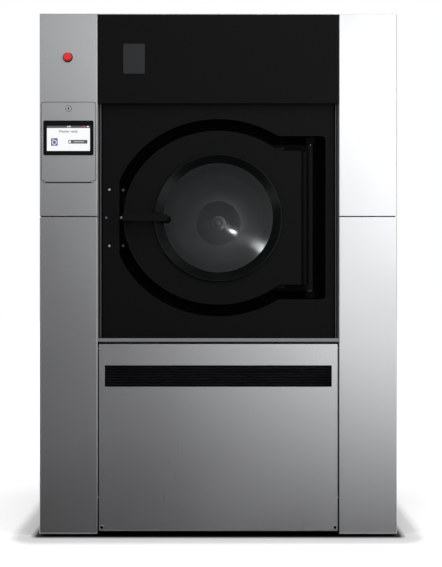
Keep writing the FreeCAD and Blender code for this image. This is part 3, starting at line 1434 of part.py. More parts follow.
def make_isolator():
    half = "isolator_size / 2"
    left = f"-isolator_center_x - {half}"
    right = f"-isolator_center_x + {half}"
    low = f"isolator_height - {half}"
    high = f"isolator_height + {half}"
    housing = prism("isolator_box", "y", "back_y", "isolator_depth", rectangle(left, right, low, high))
    corners = [(side, level) for side in (left, right) for level in (low, high)]
    round_edges(housing, "isolator_corner", "y", corners)
    pocket(housing, "y", "isolator_back_y - isolator_stem_length", "isolator_stem_length",
           ("-isolator_center_x", "isolator_height", "isolator_stem_radius + isolator_fit"))
    pocket(housing, "z", low, "gland_length",
           ("-isolator_center_x", "back_y + isolator_depth / 2", "gland_bore_radius"))
    node("isolator_box", housing)
    knob_front = "isolator_back_y + isolator_knob_gap"
    knob = turned("isolator_knob", "y", [
        ("isolator_back_y - isolator_stem_length + isolator_knob_gap", "0"),
        ("isolator_back_y - isolator_stem_length + isolator_knob_gap", "isolator_stem_radius"),
        (knob_front, "isolator_stem_radius"), (knob_front, "isolator_knob_radius"),
        (f"{knob_front} + isolator_knob_depth / 3", "isolator_knob_radius"),
        (f"{knob_front} + isolator_knob_depth / 3", "0")], x="-isolator_center_x", z="isolator_height")
    grip = "isolator_knob_radius / 3"
    pad(knob, "y", knob_front, "isolator_knob_depth",
        rectangle(f"-{grip}", grip, f"-isolator_knob_radius + {grip} / 4",
                  f"isolator_knob_radius - {grip} / 4"))
    node("isolator_knob", knob)
    nut = "gland_length / 3"
    gland = turned("cable_gland", "z", [
        ("-gland_length", "gland_bore_radius"), ("-gland_length", "gland_radius"),
        (f"-{nut}", "gland_radius"), (f"-{nut}", "gland_nut_radius"), ("0", "gland_nut_radius"),
        ("0", "gland_bore_radius")],
        x="-isolator_center_x", y="back_y + isolator_depth / 2", z=low)
    node("cable_gland", gland)


def make_inverter():
    """Motor inverter on the inside of the rear panel, with upright cooling fins on its face."""
    left = "inverter_right - inverter_width"
    bottom = "inverter_top - inverter_height"
    back = "back_y - sheet_thickness"
    body = prism("inverter_drive", "y", f"{back} - inverter_depth + inverter_fin_depth",
                 "inverter_depth - inverter_fin_depth",
                 rectangle(left, "inverter_right", bottom, "inverter_top"))
    pitch = "inverter_width / inverter_fin_count"
    fin = pad(body, "y", f"{back} - inverter_depth", "inverter_fin_depth",
              rectangle(left, f"{left} + {pitch} - inverter_fin_gap", bottom, "inverter_top"))
    row = body.newObject("PartDesign::LinearPattern", "inverter_fins")
    row.Originals = [fin]
    row.Direction = (fin.Profile[0], ["H_Axis"])
    bind(row, Length=f"inverter_width - {pitch}", Occurrences="inverter_fin_count")
    body.Tip = row
    node("inverter_drive", body)


def check_and_write():
    """Stops on any failed object or bad shape, then writes one file for each sub-part."""
    doc.recompute()
    failed = [item.Label for item in doc.Objects if {"Invalid", "Error"} & set(item.State)]
    failed += [item.Label for item in nodes if item.Shape.isNull() or not item.Shape.isValid()]
    if failed:
        raise RuntimeError("not built: " + ", ".join(sorted(set(failed))))
    for item in nodes:
        item.Shape.exportStep(f"parts/{item.Label}.step")
    print(len(nodes), "sub-parts written")


make_base()
make_upper_frame()
make_columns()
make_skin()
make_front_panels()
make_trims()
make_vent()
make_fasteners()
make_badge()
make_cradle()
make_springs()
make_dampers()
make_tub()
make_bearings()
make_drum()
make_drive()
make_drain()
door_solid = make_door()
make_hinge(door_solid)
make_keeper()
make_handle()
make_estop()
make_control_box()
make_control_door()
make_lock()
make_inlets()
make_isolator()
make_inverter()
check_and_write()
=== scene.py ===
"""Dresses a washer-extractor: finishes, rubber pieces, small hardware and a studio stage."""

import json
import math

import bmesh
import bpy
from bpy.props import FloatProperty, FloatVectorProperty, IntProperty, PointerProperty
from mathutils import Matrix, Vector


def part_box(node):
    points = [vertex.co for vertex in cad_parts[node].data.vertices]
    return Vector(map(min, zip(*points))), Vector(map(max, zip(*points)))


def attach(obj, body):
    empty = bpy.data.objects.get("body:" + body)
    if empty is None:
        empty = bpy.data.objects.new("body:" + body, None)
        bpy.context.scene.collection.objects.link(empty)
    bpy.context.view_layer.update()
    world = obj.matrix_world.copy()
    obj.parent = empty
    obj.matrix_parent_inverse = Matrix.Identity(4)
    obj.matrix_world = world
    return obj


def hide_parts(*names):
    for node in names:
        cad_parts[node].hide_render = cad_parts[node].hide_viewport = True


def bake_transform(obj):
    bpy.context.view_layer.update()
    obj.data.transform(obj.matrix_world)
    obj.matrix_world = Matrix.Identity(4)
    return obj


bl_info = {
    "name": "Washer-extractor",
    "version": (1, 0, 0),
    "blender": (4, 5, 0),
    "location": "3D View > Sidebar > Washer",
    "description": "Finishes, rubber pieces, hardware and studio stage of a washer-extractor",
    "category": "Object",
}

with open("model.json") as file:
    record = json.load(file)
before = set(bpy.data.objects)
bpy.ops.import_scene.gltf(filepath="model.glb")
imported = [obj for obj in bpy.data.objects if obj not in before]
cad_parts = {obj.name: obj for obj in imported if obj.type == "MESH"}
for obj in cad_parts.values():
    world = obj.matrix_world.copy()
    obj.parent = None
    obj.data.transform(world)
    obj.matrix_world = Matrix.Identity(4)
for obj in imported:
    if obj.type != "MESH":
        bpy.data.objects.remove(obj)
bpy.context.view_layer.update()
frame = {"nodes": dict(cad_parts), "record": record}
NODES = frame["nodes"]
SLOTS = {row["node"]: row["material_slot"] for row in frame["record"]["subparts"]}
DRUM_HEIGHT = sum(corner.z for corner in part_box("drum_shaft")) / 2
FRONT_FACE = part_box("left_upper_column")[0].y
BACK_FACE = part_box("rear_panel")[1].y
FRONT = (0, -1, 0)
# Up, leaned a little so that a piece that faces straight up has a second axis too
UPRIGHT = (0.0, 0.001, 1.0)


def linear(code):
    """An sRGB hex colour as linear red, green and blue."""
    parts = [int(code[i:i + 2], 16) / 255 for i in (1, 3, 5)]
    return tuple(c / 12.92 if c <= 0.04045 else ((c + 0.055) / 1.055) ** 2.4 for c in parts)


def colour(label, code, words):
    """A colour that the user may change."""
    return FloatVectorProperty(name=label, description=words, subtype="COLOR", min=0, max=1,
                               default=linear(code))


def length(label, metres, words):
    """A length that the user may change."""
    return FloatProperty(name=label, description=words, default=metres, min=0, unit="LENGTH", precision=4)


def count(label, number, least, words):
    """A number of like details that the user may change."""
    return IntProperty(name=label, description=words, default=number, min=least)


def power(label, watts, words):
    """A lamp's power that the user may change."""
    return FloatProperty(name=label, description=words, default=watts, min=0, unit="POWER")


class WasherColours(bpy.types.PropertyGroup):
    """Colours of the finishes."""

    steel: colour("Stainless steel", "#C3C4C6", "Brushed stainless sheet of the cabinet")
    drum_steel: colour("Drum steel", "#B9BBBC", "Spun and polished stainless of the drum")
    tub_steel: colour("Tub steel", "#A7A8A8", "Mill-finish stainless of the tub")
    black_coat: colour("Black coat", "#0B0B0C", "Satin powder coat of the door and the covers")
    frame_coat: colour("Frame enamel", "#5A6066", "Machine enamel of the welded frame")
    iron_coat: colour("Casting paint", "#4E5154", "Paint on the iron castings")
    motor_coat: colour("Motor enamel", "#3F4F62", "Enamel of the motor")
    rubber: colour("Rubber", "#1B1B1C", "Moulded rubber of the seal, the bellows and the belt")
    ring: colour("Window ring", "#050807", "Polished ring round the window")
    black_plastic: colour("Black plastic", "#0C0D0D", "Textured black plastic")
    grey_plastic: colour("Grey plastic", "#A3A6A6", "Light grey enclosure plastic")
    red_plastic: colour("Red plastic", "#C4171A", "Red push-button plastic")
    badge: colour("Badge", "#262729", "Bare satin plate on the top cover")


class WasherSizes(bpy.types.PropertyGroup):
    """Sizes of the pieces that the solids don't carry."""

    hole_width: length("Drum hole", 0.009, "Width of one hole in the drum wall")
    hole_columns: count("Holes round", 72, 12, "Holes in one turn of the drum")
    hole_rows: count("Hole rows", 17, 2, "Rows of holes along the drum")
    screw_radius: length("Screw head", 0.0055, "Radius of a panel screw's head")
    screw_height: length("Screw stand", 0.0024, "Height of a panel screw's head")
    screw_pitch: length("Screw pitch", 0.21, "Greatest distance between panel screws")
    louvre_length: length("Louvre", 0.150, "Length of one pressed louvre in the back")
    louvre_pitch: length("Louvre pitch", 0.034, "Distance from one louvre to the next")
    louvre_stand: length("Louvre stand", 0.009, "How far a louvre stands out of the back")
    belt_ribs: count("Belt ribs", 9, 3, "Ribs under the drive belt")


class WasherStudio(bpy.types.PropertyGroup):
    """Camera and lamps."""

    camera_distance: length("Camera distance", 9.0, "From the front face to the lens")
    camera_height: length("Camera height", 0.904, "Height of the lens over the floor")
    camera_side: length("Camera side", 0.0098, "How far right of the middle the lens stands")
    lens: FloatProperty(name="Lens", description="Focal length in millimetres", default=159.6, min=10)
    key_power: power("Key lamp", 40, "Power of the upper left lamp")
    drum_power: power("Drum lamp", 0.62, "Power of the small lamp in the drum")
    top_power: power("Top lamp", 70, "Power of the long lamp above")
    side_power: power("Side lamp", 40, "Power of the right lamp")
    room_light: FloatProperty(name="Room light", description="Even light from all round", default=0.32, min=0)


def add(tree, kind, links=None, **settings):
    """Adds a node with its settings. Each link is a value or the output socket that feeds the named input."""
    node = tree.nodes.new(kind)
    for name, value in settings.items():
        setattr(node, name, value)
    for name, value in (links or {}).items():
        if isinstance(value, bpy.types.NodeSocket):
            tree.links.new(value, node.inputs[name])
        else:
            node.inputs[name].default_value = value
    return node


def blank_finish(name):
    """A material with one Principled shader, and the Object coordinates that its patterns read, in metres."""
    material = bpy.data.materials.new(name)
    material.use_nodes = True
    tree = material.node_tree
    tree.nodes.clear()
    shader = add(tree, "ShaderNodeBsdfPrincipled")
    add(tree, "ShaderNodeOutputMaterial", {"Surface": shader.outputs["BSDF"]})
    place = add(tree, "ShaderNodeTexCoord").outputs["Object"]
    return material, tree, shader, place


def shade(tone, factor):
    """A colour made darker or lighter."""
    return tuple(min(1.0, c * factor) for c in tone)


def worn_edge(tree, radius):
    """Output that is 1 on a sharp outer edge and 0 on the flat, from the normal of a rounded edge."""
    rounded = add(tree, "ShaderNodeBevel", {"Radius": radius}, samples=4)
    flat = add(tree, "ShaderNodeNewGeometry")
    along = add(tree, "ShaderNodeVectorMath", {0: rounded.outputs["Normal"], 1: flat.outputs["Normal"]},
                operation="DOT_PRODUCT")
    edge = add(tree, "ShaderNodeMapRange", {"Value": along.outputs["Value"], "From Min": 0.99,
                                            "From Max": 0.86})
    return edge.outputs["Result"], rounded.outputs["Normal"]


def finish(name, tone, spread, rough, grit, lift, metallic=0.0, stretch=(1, 1, 1), wear=None, cloud=0.25,
           shine=0.5):
    """A finish whose grain, of that grit in metres, drives its colour, roughness and bump.

    spread is how far the tone varies, rough the range of roughness, lift the grain's height, stretch its
    scale on each axis, wear the radius and the tone of worn edges, cloud the size of the broad patches that
    handling and rolling leave, and shine the level of clear reflections.
    """
    material, tree, shader, place = blank_finish(name)
    turned = add(tree, "ShaderNodeMapping", {"Vector": place, "Scale": tuple(s / grit for s in stretch)})
    grain = add(tree, "ShaderNodeTexNoise", {"Vector": turned.outputs["Vector"], "Scale": 1.0, "Detail": 3.0})
    patch = add(tree, "ShaderNodeTexNoise", {"Vector": place, "Scale": 1 / cloud, "Detail": 2.0})
    both = add(tree, "ShaderNodeMath", {0: grain.outputs["Fac"], 1: patch.outputs["Fac"]}, operation="ADD")
    half = add(tree, "ShaderNodeMath", {0: both.outputs["Value"], 1: 0.5}, operation="MULTIPLY")
    low, high = (*shade(tone, 1 - 2 * spread), 1), (*shade(tone, 1 + 2 * spread), 1)
    tint = add(tree, "ShaderNodeMix", {0: half.outputs["Value"], 6: low, 7: high},
               data_type="RGBA").outputs[2]
    bump = {"Height": grain.outputs["Fac"], "Strength": 0.5, "Distance": lift}
    if wear:
        edge, rounded = worn_edge(tree, wear[0])
        bump["Normal"] = rounded
        rubbed = (*shade(tone, wear[1]), 1)
        tint = add(tree, "ShaderNodeMix", {0: edge, 6: tint, 7: rubbed}, data_type="RGBA").outputs[2]
    gloss = add(tree, "ShaderNodeMapRange", {"Value": half.outputs["Value"], "From Min": 0.3, "From Max": 0.7,
                                             "To Min": rough[0], "To Max": rough[1]})
    relief = add(tree, "ShaderNodeBump", bump)
    tree.links.new(tint, shader.inputs["Base Color"])
    tree.links.new(gloss.outputs["Result"], shader.inputs["Roughness"])
    tree.links.new(relief.outputs["Normal"], shader.inputs["Normal"])
    shader.inputs["Metallic"].default_value = metallic
    shader.inputs["Specular IOR Level"].default_value = shine
    return material


def spun_steel(name, tone, dome=0.0):
    """Stainless sheet spun on a lathe: its tool marks pull highlights into wedges from the middle out.

    dome is how fast the sheet's lean grows with the distance from the axis, where it is pressed outward.
    The sheet has the thin haze of hard water, so it is only partly metallic.
    """
    material, tree, shader, place = blank_finish(name)
    flat = add(tree, "ShaderNodeMapping", {"Vector": place, "Location": (0, 0, -DRUM_HEIGHT),
                                           "Scale": (1, 0, 1)})
    reach = add(tree, "ShaderNodeVectorMath", {0: flat.outputs["Vector"]}, operation="LENGTH")
    # Tool marks are about 0.4 mm apart, and are drawn 2.5 mm apart so that they show
    marks = add(tree, "ShaderNodeTexNoise", {"W": reach.outputs["Value"], "Scale": 1 / 0.0025, "Detail": 2.0},
                noise_dimensions="1D")
    low, high = (*shade(tone, 0.93), 1), (*shade(tone, 1.05), 1)
    tint = add(tree, "ShaderNodeMix", {0: marks.outputs["Fac"], 6: low, 7: high}, data_type="RGBA")
    gloss = add(tree, "ShaderNodeMapRange", {"Value": marks.outputs["Fac"], "To Min": 0.165, "To Max": 0.19})
    square = add(tree, "ShaderNodeMath", {0: reach.outputs["Value"], 1: 2.0}, operation="POWER")
    swell = add(tree, "ShaderNodeMath", {0: square.outputs["Value"], 1: -dome / 2}, operation="MULTIPLY")
    height = add(tree, "ShaderNodeMath", {0: marks.outputs["Fac"], 1: 0.00002, 2: swell.outputs["Value"]},
                 operation="MULTIPLY_ADD")
    relief = add(tree, "ShaderNodeBump", {"Height": height.outputs["Value"], "Strength": 1.0,
                                          "Distance": 1.0})
    tree.links.new(tint.outputs[2], shader.inputs["Base Color"])
    tree.links.new(gloss.outputs["Result"], shader.inputs["Roughness"])
    tree.links.new(relief.outputs["Normal"], shader.inputs["Normal"])
    tree.links.new(flat.outputs["Vector"], shader.inputs["Tangent"])
    shader.inputs["Metallic"].default_value = 0.3
    shader.inputs["Anisotropic"].default_value = 0.67
    return material


def bowl_glass(name):
    """Pressed smoked glass: a thin wall that dims the drum, and mirrors more where it is seen at a slant."""
    material, tree, shader, place = blank_finish(name)
    ripple = add(tree, "ShaderNodeTexNoise", {"Vector": place, "Scale": 1 / 0.05, "Detail": 1.0})
    relief = add(tree, "ShaderNodeBump", {"Height": ripple.outputs["Fac"], "Strength": 0.1,
                                          "Distance": 0.0006})
    slant = add(tree, "ShaderNodeLayerWeight", {"Blend": 0.1, "Normal": relief.outputs["Normal"]})
    mirror = add(tree, "ShaderNodeMapRange", {"Value": slant.outputs["Facing"], "To Min": 0.01,
                                              "To Max": 0.3})
    low, high = (*linear("#D8D9D9"), 1), (*linear("#E2E3E3"), 1)
    tint = add(tree, "ShaderNodeMix", {0: ripple.outputs["Fac"], 6: low, 7: high}, data_type="RGBA")
    clear = add(tree, "ShaderNodeBsdfTransparent", {"Color": tint.outputs[2]})
    shader.inputs["Base Color"].default_value = (*linear("#0B0D0C"), 1)
    shader.inputs["Roughness"].default_value = 0.04
    tree.links.new(relief.outputs["Normal"], shader.inputs["Normal"])
    mixed = add(tree, "ShaderNodeMixShader", {0: mirror.outputs["Result"], 1: clear.outputs["BSDF"],
                                              2: shader.outputs["BSDF"]})
    tree.links.new(mixed.outputs["Shader"], tree.nodes["Material Output"].inputs["Surface"])
    return material


def lit_finish(name, code):
    """One tone of a lit display: it glows evenly, with the faint mottle of its backlight."""
    material, tree, shader, place = blank_finish(name)
    mottle = add(tree, "ShaderNodeTexNoise", {"Vector": place, "Scale": 1 / 0.012, "Detail": 1.0})
    low, high = (*shade(linear(code), 0.96), 1), (*shade(linear(code), 1.02), 1)
    tint = add(tree, "ShaderNodeMix", {0: mottle.outputs["Fac"], 6: low, 7: high}, data_type="RGBA")
    tree.links.new(tint.outputs[2], shader.inputs["Emission Color"])
    shader.inputs["Base Color"].default_value = (*linear("#0A0A0B"), 1)
    shader.inputs["Emission Strength"].default_value = 1.0
    shader.inputs["Roughness"].default_value = 0.3
    shader.inputs["Specular IOR Level"].default_value = 0.2
    return material


def slot_finishes(tones):
    """The finish of every material slot."""
    return {
        # Brushed stainless sheet: a fine upright grain that spreads reflections into broad soft gradients
        "stainless_skin": finish("brushed_stainless_sheet", tones.steel, 0.012, (0.27, 0.33), 0.0012, 0.00002,
                                 metallic=1, stretch=(1, 1, 0.006), wear=(0.0004, 1.1), cloud=0.4),
        # Polished stainless sheet, rolled: long faint grain along the sheet, bright
        "stainless_drum": finish("polished_stainless_drum", tones.drum_steel, 0.03, (0.22, 0.34), 0.0015,
                                 0.00003, metallic=1, stretch=(1, 0.02, 1), cloud=0.1),
        # Mill-finish stainless: dull, cloudy from pickling
        "stainless_tub": finish("mill_stainless_tub", tones.tub_steel, 0.06, (0.38, 0.52), 0.004, 0.00006,
                                metallic=1, cloud=0.09),
        # Powder coat baked on sheet steel: satin black with a fine orange peel, thin and paler on edges
        "black_coat": finish("satin_black_powder_coat", tones.black_coat, 0.10, (0.40, 0.50), 0.0016, 0.00006,
                             wear=(0.0008, 1.6), shine=0.06),
        # Machine enamel sprayed on welded steel: half gloss, a little uneven, chipped to primer on edges
        "frame_coat": finish("machine_enamel", tones.frame_coat, 0.08, (0.34, 0.5), 0.004, 0.0001,
                             wear=(0.002, 1.7), cloud=0.12),
        # Ground steel: bright with fine lines
        "steel_shaft": finish("ground_steel", linear("#B3B4B5"), 0.05, (0.2, 0.32), 0.0008, 0.00002,
                              metallic=1, stretch=(1, 0.1, 1), cloud=0.05),
        # Zinc plating: bright, with a cloudy passivated bloom
        "zinc_steel": finish("bright_zinc_plate", linear("#C9CBC8"), 0.06, (0.26, 0.42), 0.005, 0.00003,
                             metallic=1, wear=(0.0008, 1.15), cloud=0.03),
        # Painted sand casting: pebbled skin
        "iron_casting": finish("painted_iron_casting", tones.iron_coat, 0.10, (0.45, 0.62), 0.003, 0.0005,
                               wear=(0.002, 1.6), cloud=0.06),
        # Stove enamel on a ribbed motor case: half gloss
        "motor_coat": finish("motor_stove_enamel", tones.motor_coat, 0.08, (0.36, 0.5), 0.003, 0.00015,
                             wear=(0.0015, 1.6), cloud=0.08),
        # Die-cast aluminium: pale grey with a dry grain
        "alloy_body": finish("die_cast_aluminium", linear("#B9BBBE"), 0.05, (0.4, 0.52), 0.002, 0.0001,
                             metallic=1, wear=(0.001, 1.12), cloud=0.05),
        # Machined brass: warm, fine turning lines
        "brass_valve": finish("machined_brass", linear("#C9A45A"), 0.06, (0.22, 0.36), 0.001, 0.00003,
                              metallic=1, stretch=(1, 6, 1), wear=(0.0008, 1.15), cloud=0.03),
        # Polished black ring: deep gloss with the faint haze of wiping
        "window_ring": finish("polished_black_ring", tones.ring, 0.12, (0.16, 0.24), 0.02, 0.00003,
                              wear=(0.0006, 1.6), cloud=0.08, shine=0.19),
        "window_glass": bowl_glass("pressed_window_glass"),
        # Moulded rubber: matt, dusted with release powder in the grain
        "black_rubber": finish("moulded_rubber", tones.rubber, 0.14, (0.55, 0.72), 0.0025, 0.0001,
                               cloud=0.04),
        # Rubber belt with a woven back: dull and dusty
        "belt_rubber": finish("woven_backed_belt", tones.rubber, 0.2, (0.6, 0.8), 0.0012, 0.0001,
                              stretch=(1, 1, 0.6), cloud=0.05),
        # Spark-eroded black plastic: even fine texture
        "black_plastic": finish("textured_black_plastic", tones.black_plastic, 0.12, (0.42, 0.56), 0.0012,
                                0.00008, wear=(0.0006, 1.5), shine=0.05),
        # Grey enclosure plastic: smooth moulding with slight flow marks
        "grey_plastic": finish("grey_enclosure_plastic", tones.grey_plastic, 0.03, (0.38, 0.5), 0.003,
                               0.00006, wear=(0.001, 1.15), cloud=0.07),
        # Satin dark plate, bare: fine sanded face
        "dark_badge": finish("satin_dark_plate", tones.badge, 0.06, (0.3, 0.42), 0.0008, 0.00002,
                             metallic=0.6, stretch=(0.05, 1, 1), wear=(0.0006, 1.8), cloud=0.05),
        # Glossy moulded red plastic: clean, bright, slightly scuffed
        "red_plastic": finish("red_button_plastic", tones.red_plastic, 0.05, (0.24, 0.36), 0.002, 0.00003,
                              wear=(0.001, 1.2), cloud=0.02),
        # Black display glass and its case: smooth and glossy
        "screen": finish("black_display_glass", linear("#101113"), 0.1, (0.12, 0.2), 0.01, 0.00001,
                         cloud=0.06),
    }


# Filled by the operator that makes the finishes, and read by those that make the pieces
FINISHES = {}


def keep(name, mesh, material, body, replaced=()):
    """Makes a finished piece from a mesh that already lies in place, and hands it to its body."""
    piece = bpy.data.objects.new(name, mesh)
    bpy.context.scene.collection.objects.link(piece)
    if material:
        mesh.materials.clear()
        mesh.materials.append(material)
    if replaced:
        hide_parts(*replaced)
    if body:
        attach(piece, body)
    return piece


def to_mesh(name, form, angle=40):
    """A mesh from a bmesh: doubles merged, faces outward, and edges sharper than the angle left crisp."""
    bmesh.ops.remove_doubles(form, verts=form.verts, dist=1e-5)
    bmesh.ops.recalc_face_normals(form, faces=form.faces)
    mesh = bpy.data.meshes.new(name)
    form.to_mesh(mesh)
    form.free()
    mesh.shade_smooth()
    mesh.set_sharp_from_angle(angle=math.radians(angle))
    return mesh


def keep_form(name, form, body, slot, material=None, replaced=(), angle=40):
    """Makes a finished piece from a bmesh, in the slot's own finish unless another is given."""
    return keep(name, to_mesh(name, form, angle), material or FINISHES[slot], body, replaced)


def facing_front(centre):
    """A matrix that sets a shape at the centre and turns its Z axis to the front."""
    return Matrix.Translation(centre) @ Matrix.Rotation(math.pi / 2, 4, "X")


def lathe(form, profile, place, segments, closed=True):
    """Turns a profile of radius and height round Z, sets it with a matrix, and gives its rings of points."""
    rings = []
    for radius, height in profile:
        ring = []
        for step in range(segments):
            angle = 2 * math.pi * step / segments
            point = Vector((radius * math.cos(angle), radius * math.sin(angle), height))
            ring.append(form.verts.new(place @ point))
        rings.append(ring)
    for low, high in zip(rings, rings[1:] + rings[:1] if closed else rings[1:]):
        for step in range(segments):
            after = (step + 1) % segments
            form.faces.new((low[step], low[after], high[after], high[step]))
    return rings


def smooth_profile(points, steps):
    """A closed round curve through the points."""
    curve = []
    for i in range(len(points)):
        a, b, c, d = (Vector(points[(i + k) % len(points)]) for k in (-1, 0, 1, 2))
        for step in range(steps):
            t = step / steps
            curve.append(((2 * b) + (c - a) * t + (2 * a - 5 * b + 4 * c - d) * t * t
                          + (3 * b - a - 3 * c + d) * t ** 3) / 2)
    return [tuple(p) for p in curve]


def block(form, low, high, bevel=0.0):
    """A box between two corners, with its edges broken."""
    size = [h - l for l, h in zip(low, high)]
    middle = [(l + h) / 2 for l, h in zip(low, high)]
    made = bmesh.ops.create_cube(form, size=1, matrix=Matrix.LocRotScale(middle, None, size))
    if bevel:
        edges = {edge for vert in made["verts"] for edge in vert.link_edges}
        bmesh.ops.bevel(form, geom=list(edges), offset=bevel, segments=2, affect="EDGES", profile=0.5)


def disc(form, centre, radius, depth, sides=24, hole=0.0):
    """A round plate on the front, or a ring where it has a hole, its back at the centre's depth."""
    rim = min(0.15 * radius, 0.4 * depth)
    profile = [(radius, 0), (radius, depth - rim), (radius - rim, depth)]
    if hole:
        lathe(form, [(hole, 0), *profile, (hole, depth)], facing_front(centre), sides)
        return
    rings = lathe(form, profile, facing_front(centre), sides, closed=False)
    form.faces.new(rings[-1])
    form.faces.new(rings[0][::-1])


def grower(name, sizes):
    """A geometry tree with named inputs. Gives the tree, its input node and each input's identifier."""
    tree = bpy.data.node_groups.new(name, "GeometryNodeTree")
    tree.interface.new_socket("Places", in_out="INPUT", socket_type="NodeSocketGeometry")
    named = {}
    for label, kind in sizes.items():
        named[label] = tree.interface.new_socket(label, in_out="INPUT", socket_type=kind).identifier
    tree.interface.new_socket("Pieces", in_out="OUTPUT", socket_type="NodeSocketGeometry")
    return tree, add(tree, "NodeGroupInput"), named


def grown(name, seed, tree, values):
    """The plain mesh that a geometry tree grows from a seed mesh, with its inputs set by identifier."""
    holder = bpy.data.objects.new(name, seed)
    bpy.context.scene.collection.objects.link(holder)
    modifier = holder.modifiers.new(name, "NODES")
    modifier.node_group = tree
    for identifier, value in values.items():
        modifier[identifier] = value
    graph = bpy.context.evaluated_depsgraph_get()
    mesh = bpy.data.meshes.new_from_object(holder.evaluated_get(graph))
    holder.modifiers.remove(modifier)
    bpy.data.objects.remove(holder)
    mesh.name = name
    return mesh


def seed_of(name, places):
    """A mesh of loose points, each with the direction that its piece faces."""
    seed = bpy.data.meshes.new(name)
    seed.from_pydata([place for place, facing in places], [], [])
    facing = seed.attributes.new("facing", "FLOAT_VECTOR", "POINT")
    for item, (place, direction) in zip(facing.data, places):
        item.vector = direction
    return seed


def planted(name, places, pattern, material, upright=UPRIGHT):
    """One mesh with the pattern at each place, its Z axis on the facing and its Y axis nearest upright."""
    holder = bpy.data.objects.new(f"{name}_pattern", pattern)
    bpy.context.scene.collection.objects.link(holder)
    tree, given, named = grower(name, {"Pattern": "NodeSocketObject", "Upright": "NodeSocketVector",
                                       "Finish": "NodeSocketMaterial"})
    facing = add(tree, "GeometryNodeInputNamedAttribute", {"Name": "facing"}, data_type="FLOAT_VECTOR")
    turn = add(tree, "FunctionNodeAxesToRotation",
               {"Primary Axis": facing.outputs["Attribute"], "Secondary Axis": given.outputs["Upright"]},
               primary_axis="Z", secondary_axis="Y")
    shape = add(tree, "GeometryNodeObjectInfo", {"Object": given.outputs["Pattern"]})
    spread = add(tree, "GeometryNodeInstanceOnPoints",
                 {"Points": given.outputs["Places"], "Instance": shape.outputs["Geometry"],
                  "Rotation": turn.outputs["Rotation"]})
    real = add(tree, "GeometryNodeRealizeInstances", {"Geometry": spread.outputs["Instances"]})
    dressed = add(tree, "GeometryNodeSetMaterial", {"Geometry": real.outputs["Geometry"],
                                                    "Material": given.outputs["Finish"]})
    add(tree, "NodeGroupOutput", {"Pieces": dressed.outputs["Geometry"]})
    mesh = grown(name, seed_of(name, places), tree,
                 {named["Pattern"]: holder, named["Upright"]: upright, named["Finish"]: material})
    bpy.data.objects.remove(holder)
    return mesh


class WASHER_OT_finishes(bpy.types.Operator):
    """Makes the finishes and gives every solid its own"""

    bl_idname = "washer.finishes"
    bl_label = "Finishes"

    def execute(self, context):
        tones = context.scene.washer_colours
        FINISHES.update(slot_finishes(tones))
        FINISHES["spun_back"] = spun_steel("spun_stainless_back", tones.drum_steel, 0.54)
        # Painted shade: a matt black coat much darker than the door's, on the parts inside the cut-out, so
        # that the door stands in a dark gap where the recess lies in shadow
        FINISHES["painted_shade_gap"] = finish("painted_shade_black_coat", shade(tones.black_coat, 0.4), 0.1, (0.6, 0.75),
                                      0.002, 0.00008, wear=(0.0006, 1.3), shine=0.03)
        # Painted shade: the edge strips' stainless in a dull dark grey that hardly mirrors, darker than the
        # columns' steel, for the shade where they stand recessed and angled
        FINISHES["painted_shade_strip"] = finish("painted_shade_stainless_strip", linear("#59595B"), 0.06, (0.5, 0.6),
                                          0.0014, 0.00004, metallic=0.4, stretch=(1, 1, 0.02),
                                          wear=(0.0005, 1.3), shine=0.2)
        # Painted highlight: pale grey stainless that spreads light evenly, for the bright edges where light
        # catches the ledge and the lower hem
        FINISHES["pale_edge"] = finish("painted_highlight_stainless_edge", linear("#7E7E80"), 0.05, (0.5, 0.6), 0.0014,
                                       0.00004, metallic=0.4, wear=(0.0005, 1.2), shine=0.2)
        # Painted shade: the tub's front, the hinge brackets, the latch keeper and the vent grille lie in the
        # recesses' shadow, so they take the painted-shade black
        own = dict.fromkeys(("tub_front", "hinge_brackets", "latch_keeper", "vent_grille"), "painted_shade_gap")
        # The door panel's edge strips take the painted-shade grey stainless
        own.update(drum_back="spun_back", door_panel_trims="painted_shade_strip")
        for node, piece in NODES.items():
            piece.data.materials.clear()
            piece.data.materials.append(FINISHES[own.get(node, SLOTS[node])])
        return {"FINISHED"}


class WASHER_OT_door_seal(bpy.types.Operator):
    """Moulds the door seal: a sleeve with a band groove, a fold, and two soft lips against the door"""

    bl_idname = "washer.door_seal"
    bl_label = "Door seal"

    def execute(self, context):
        low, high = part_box("door_seal")
        front, back, outer = low.y, high.y, high.x
        neck, groove = outer - 0.0062, outer - 0.0018
        # Radius and depth: the sleeve with its groove from the back, the fold, and the two lips in front
        section = [(neck, back), (outer, back), (outer, back - 0.006), (groove, back - 0.008),
                   (groove, back - 0.016), (outer, back - 0.018), (outer - 0.0005, back - 0.024),
                   (outer - 0.006, front + 0.018), (outer - 0.008, front + 0.013),
                   (outer - 0.0045, front + 0.007), (outer - 0.006, front + 0.001),
                   (outer - 0.012, front + 0.003), (outer - 0.018, front), (outer - 0.0255, front + 0.003),
                   (outer - 0.0268, front + 0.009), (outer - 0.023, front + 0.015),
                   (outer - 0.016, front + 0.019), (outer - 0.0105, front + 0.0225), (neck, front + 0.0245)]
        profile = [(radius, -depth) for radius, depth in smooth_profile(section, steps=4)]
        form = bmesh.new()
        lathe(form, profile, facing_front((0, 0, DRUM_HEIGHT)), segments=120)
        keep_form("moulded_door_seal", form, "tub", "black_rubber", replaced=["door_seal"])
        return {"FINISHED"}


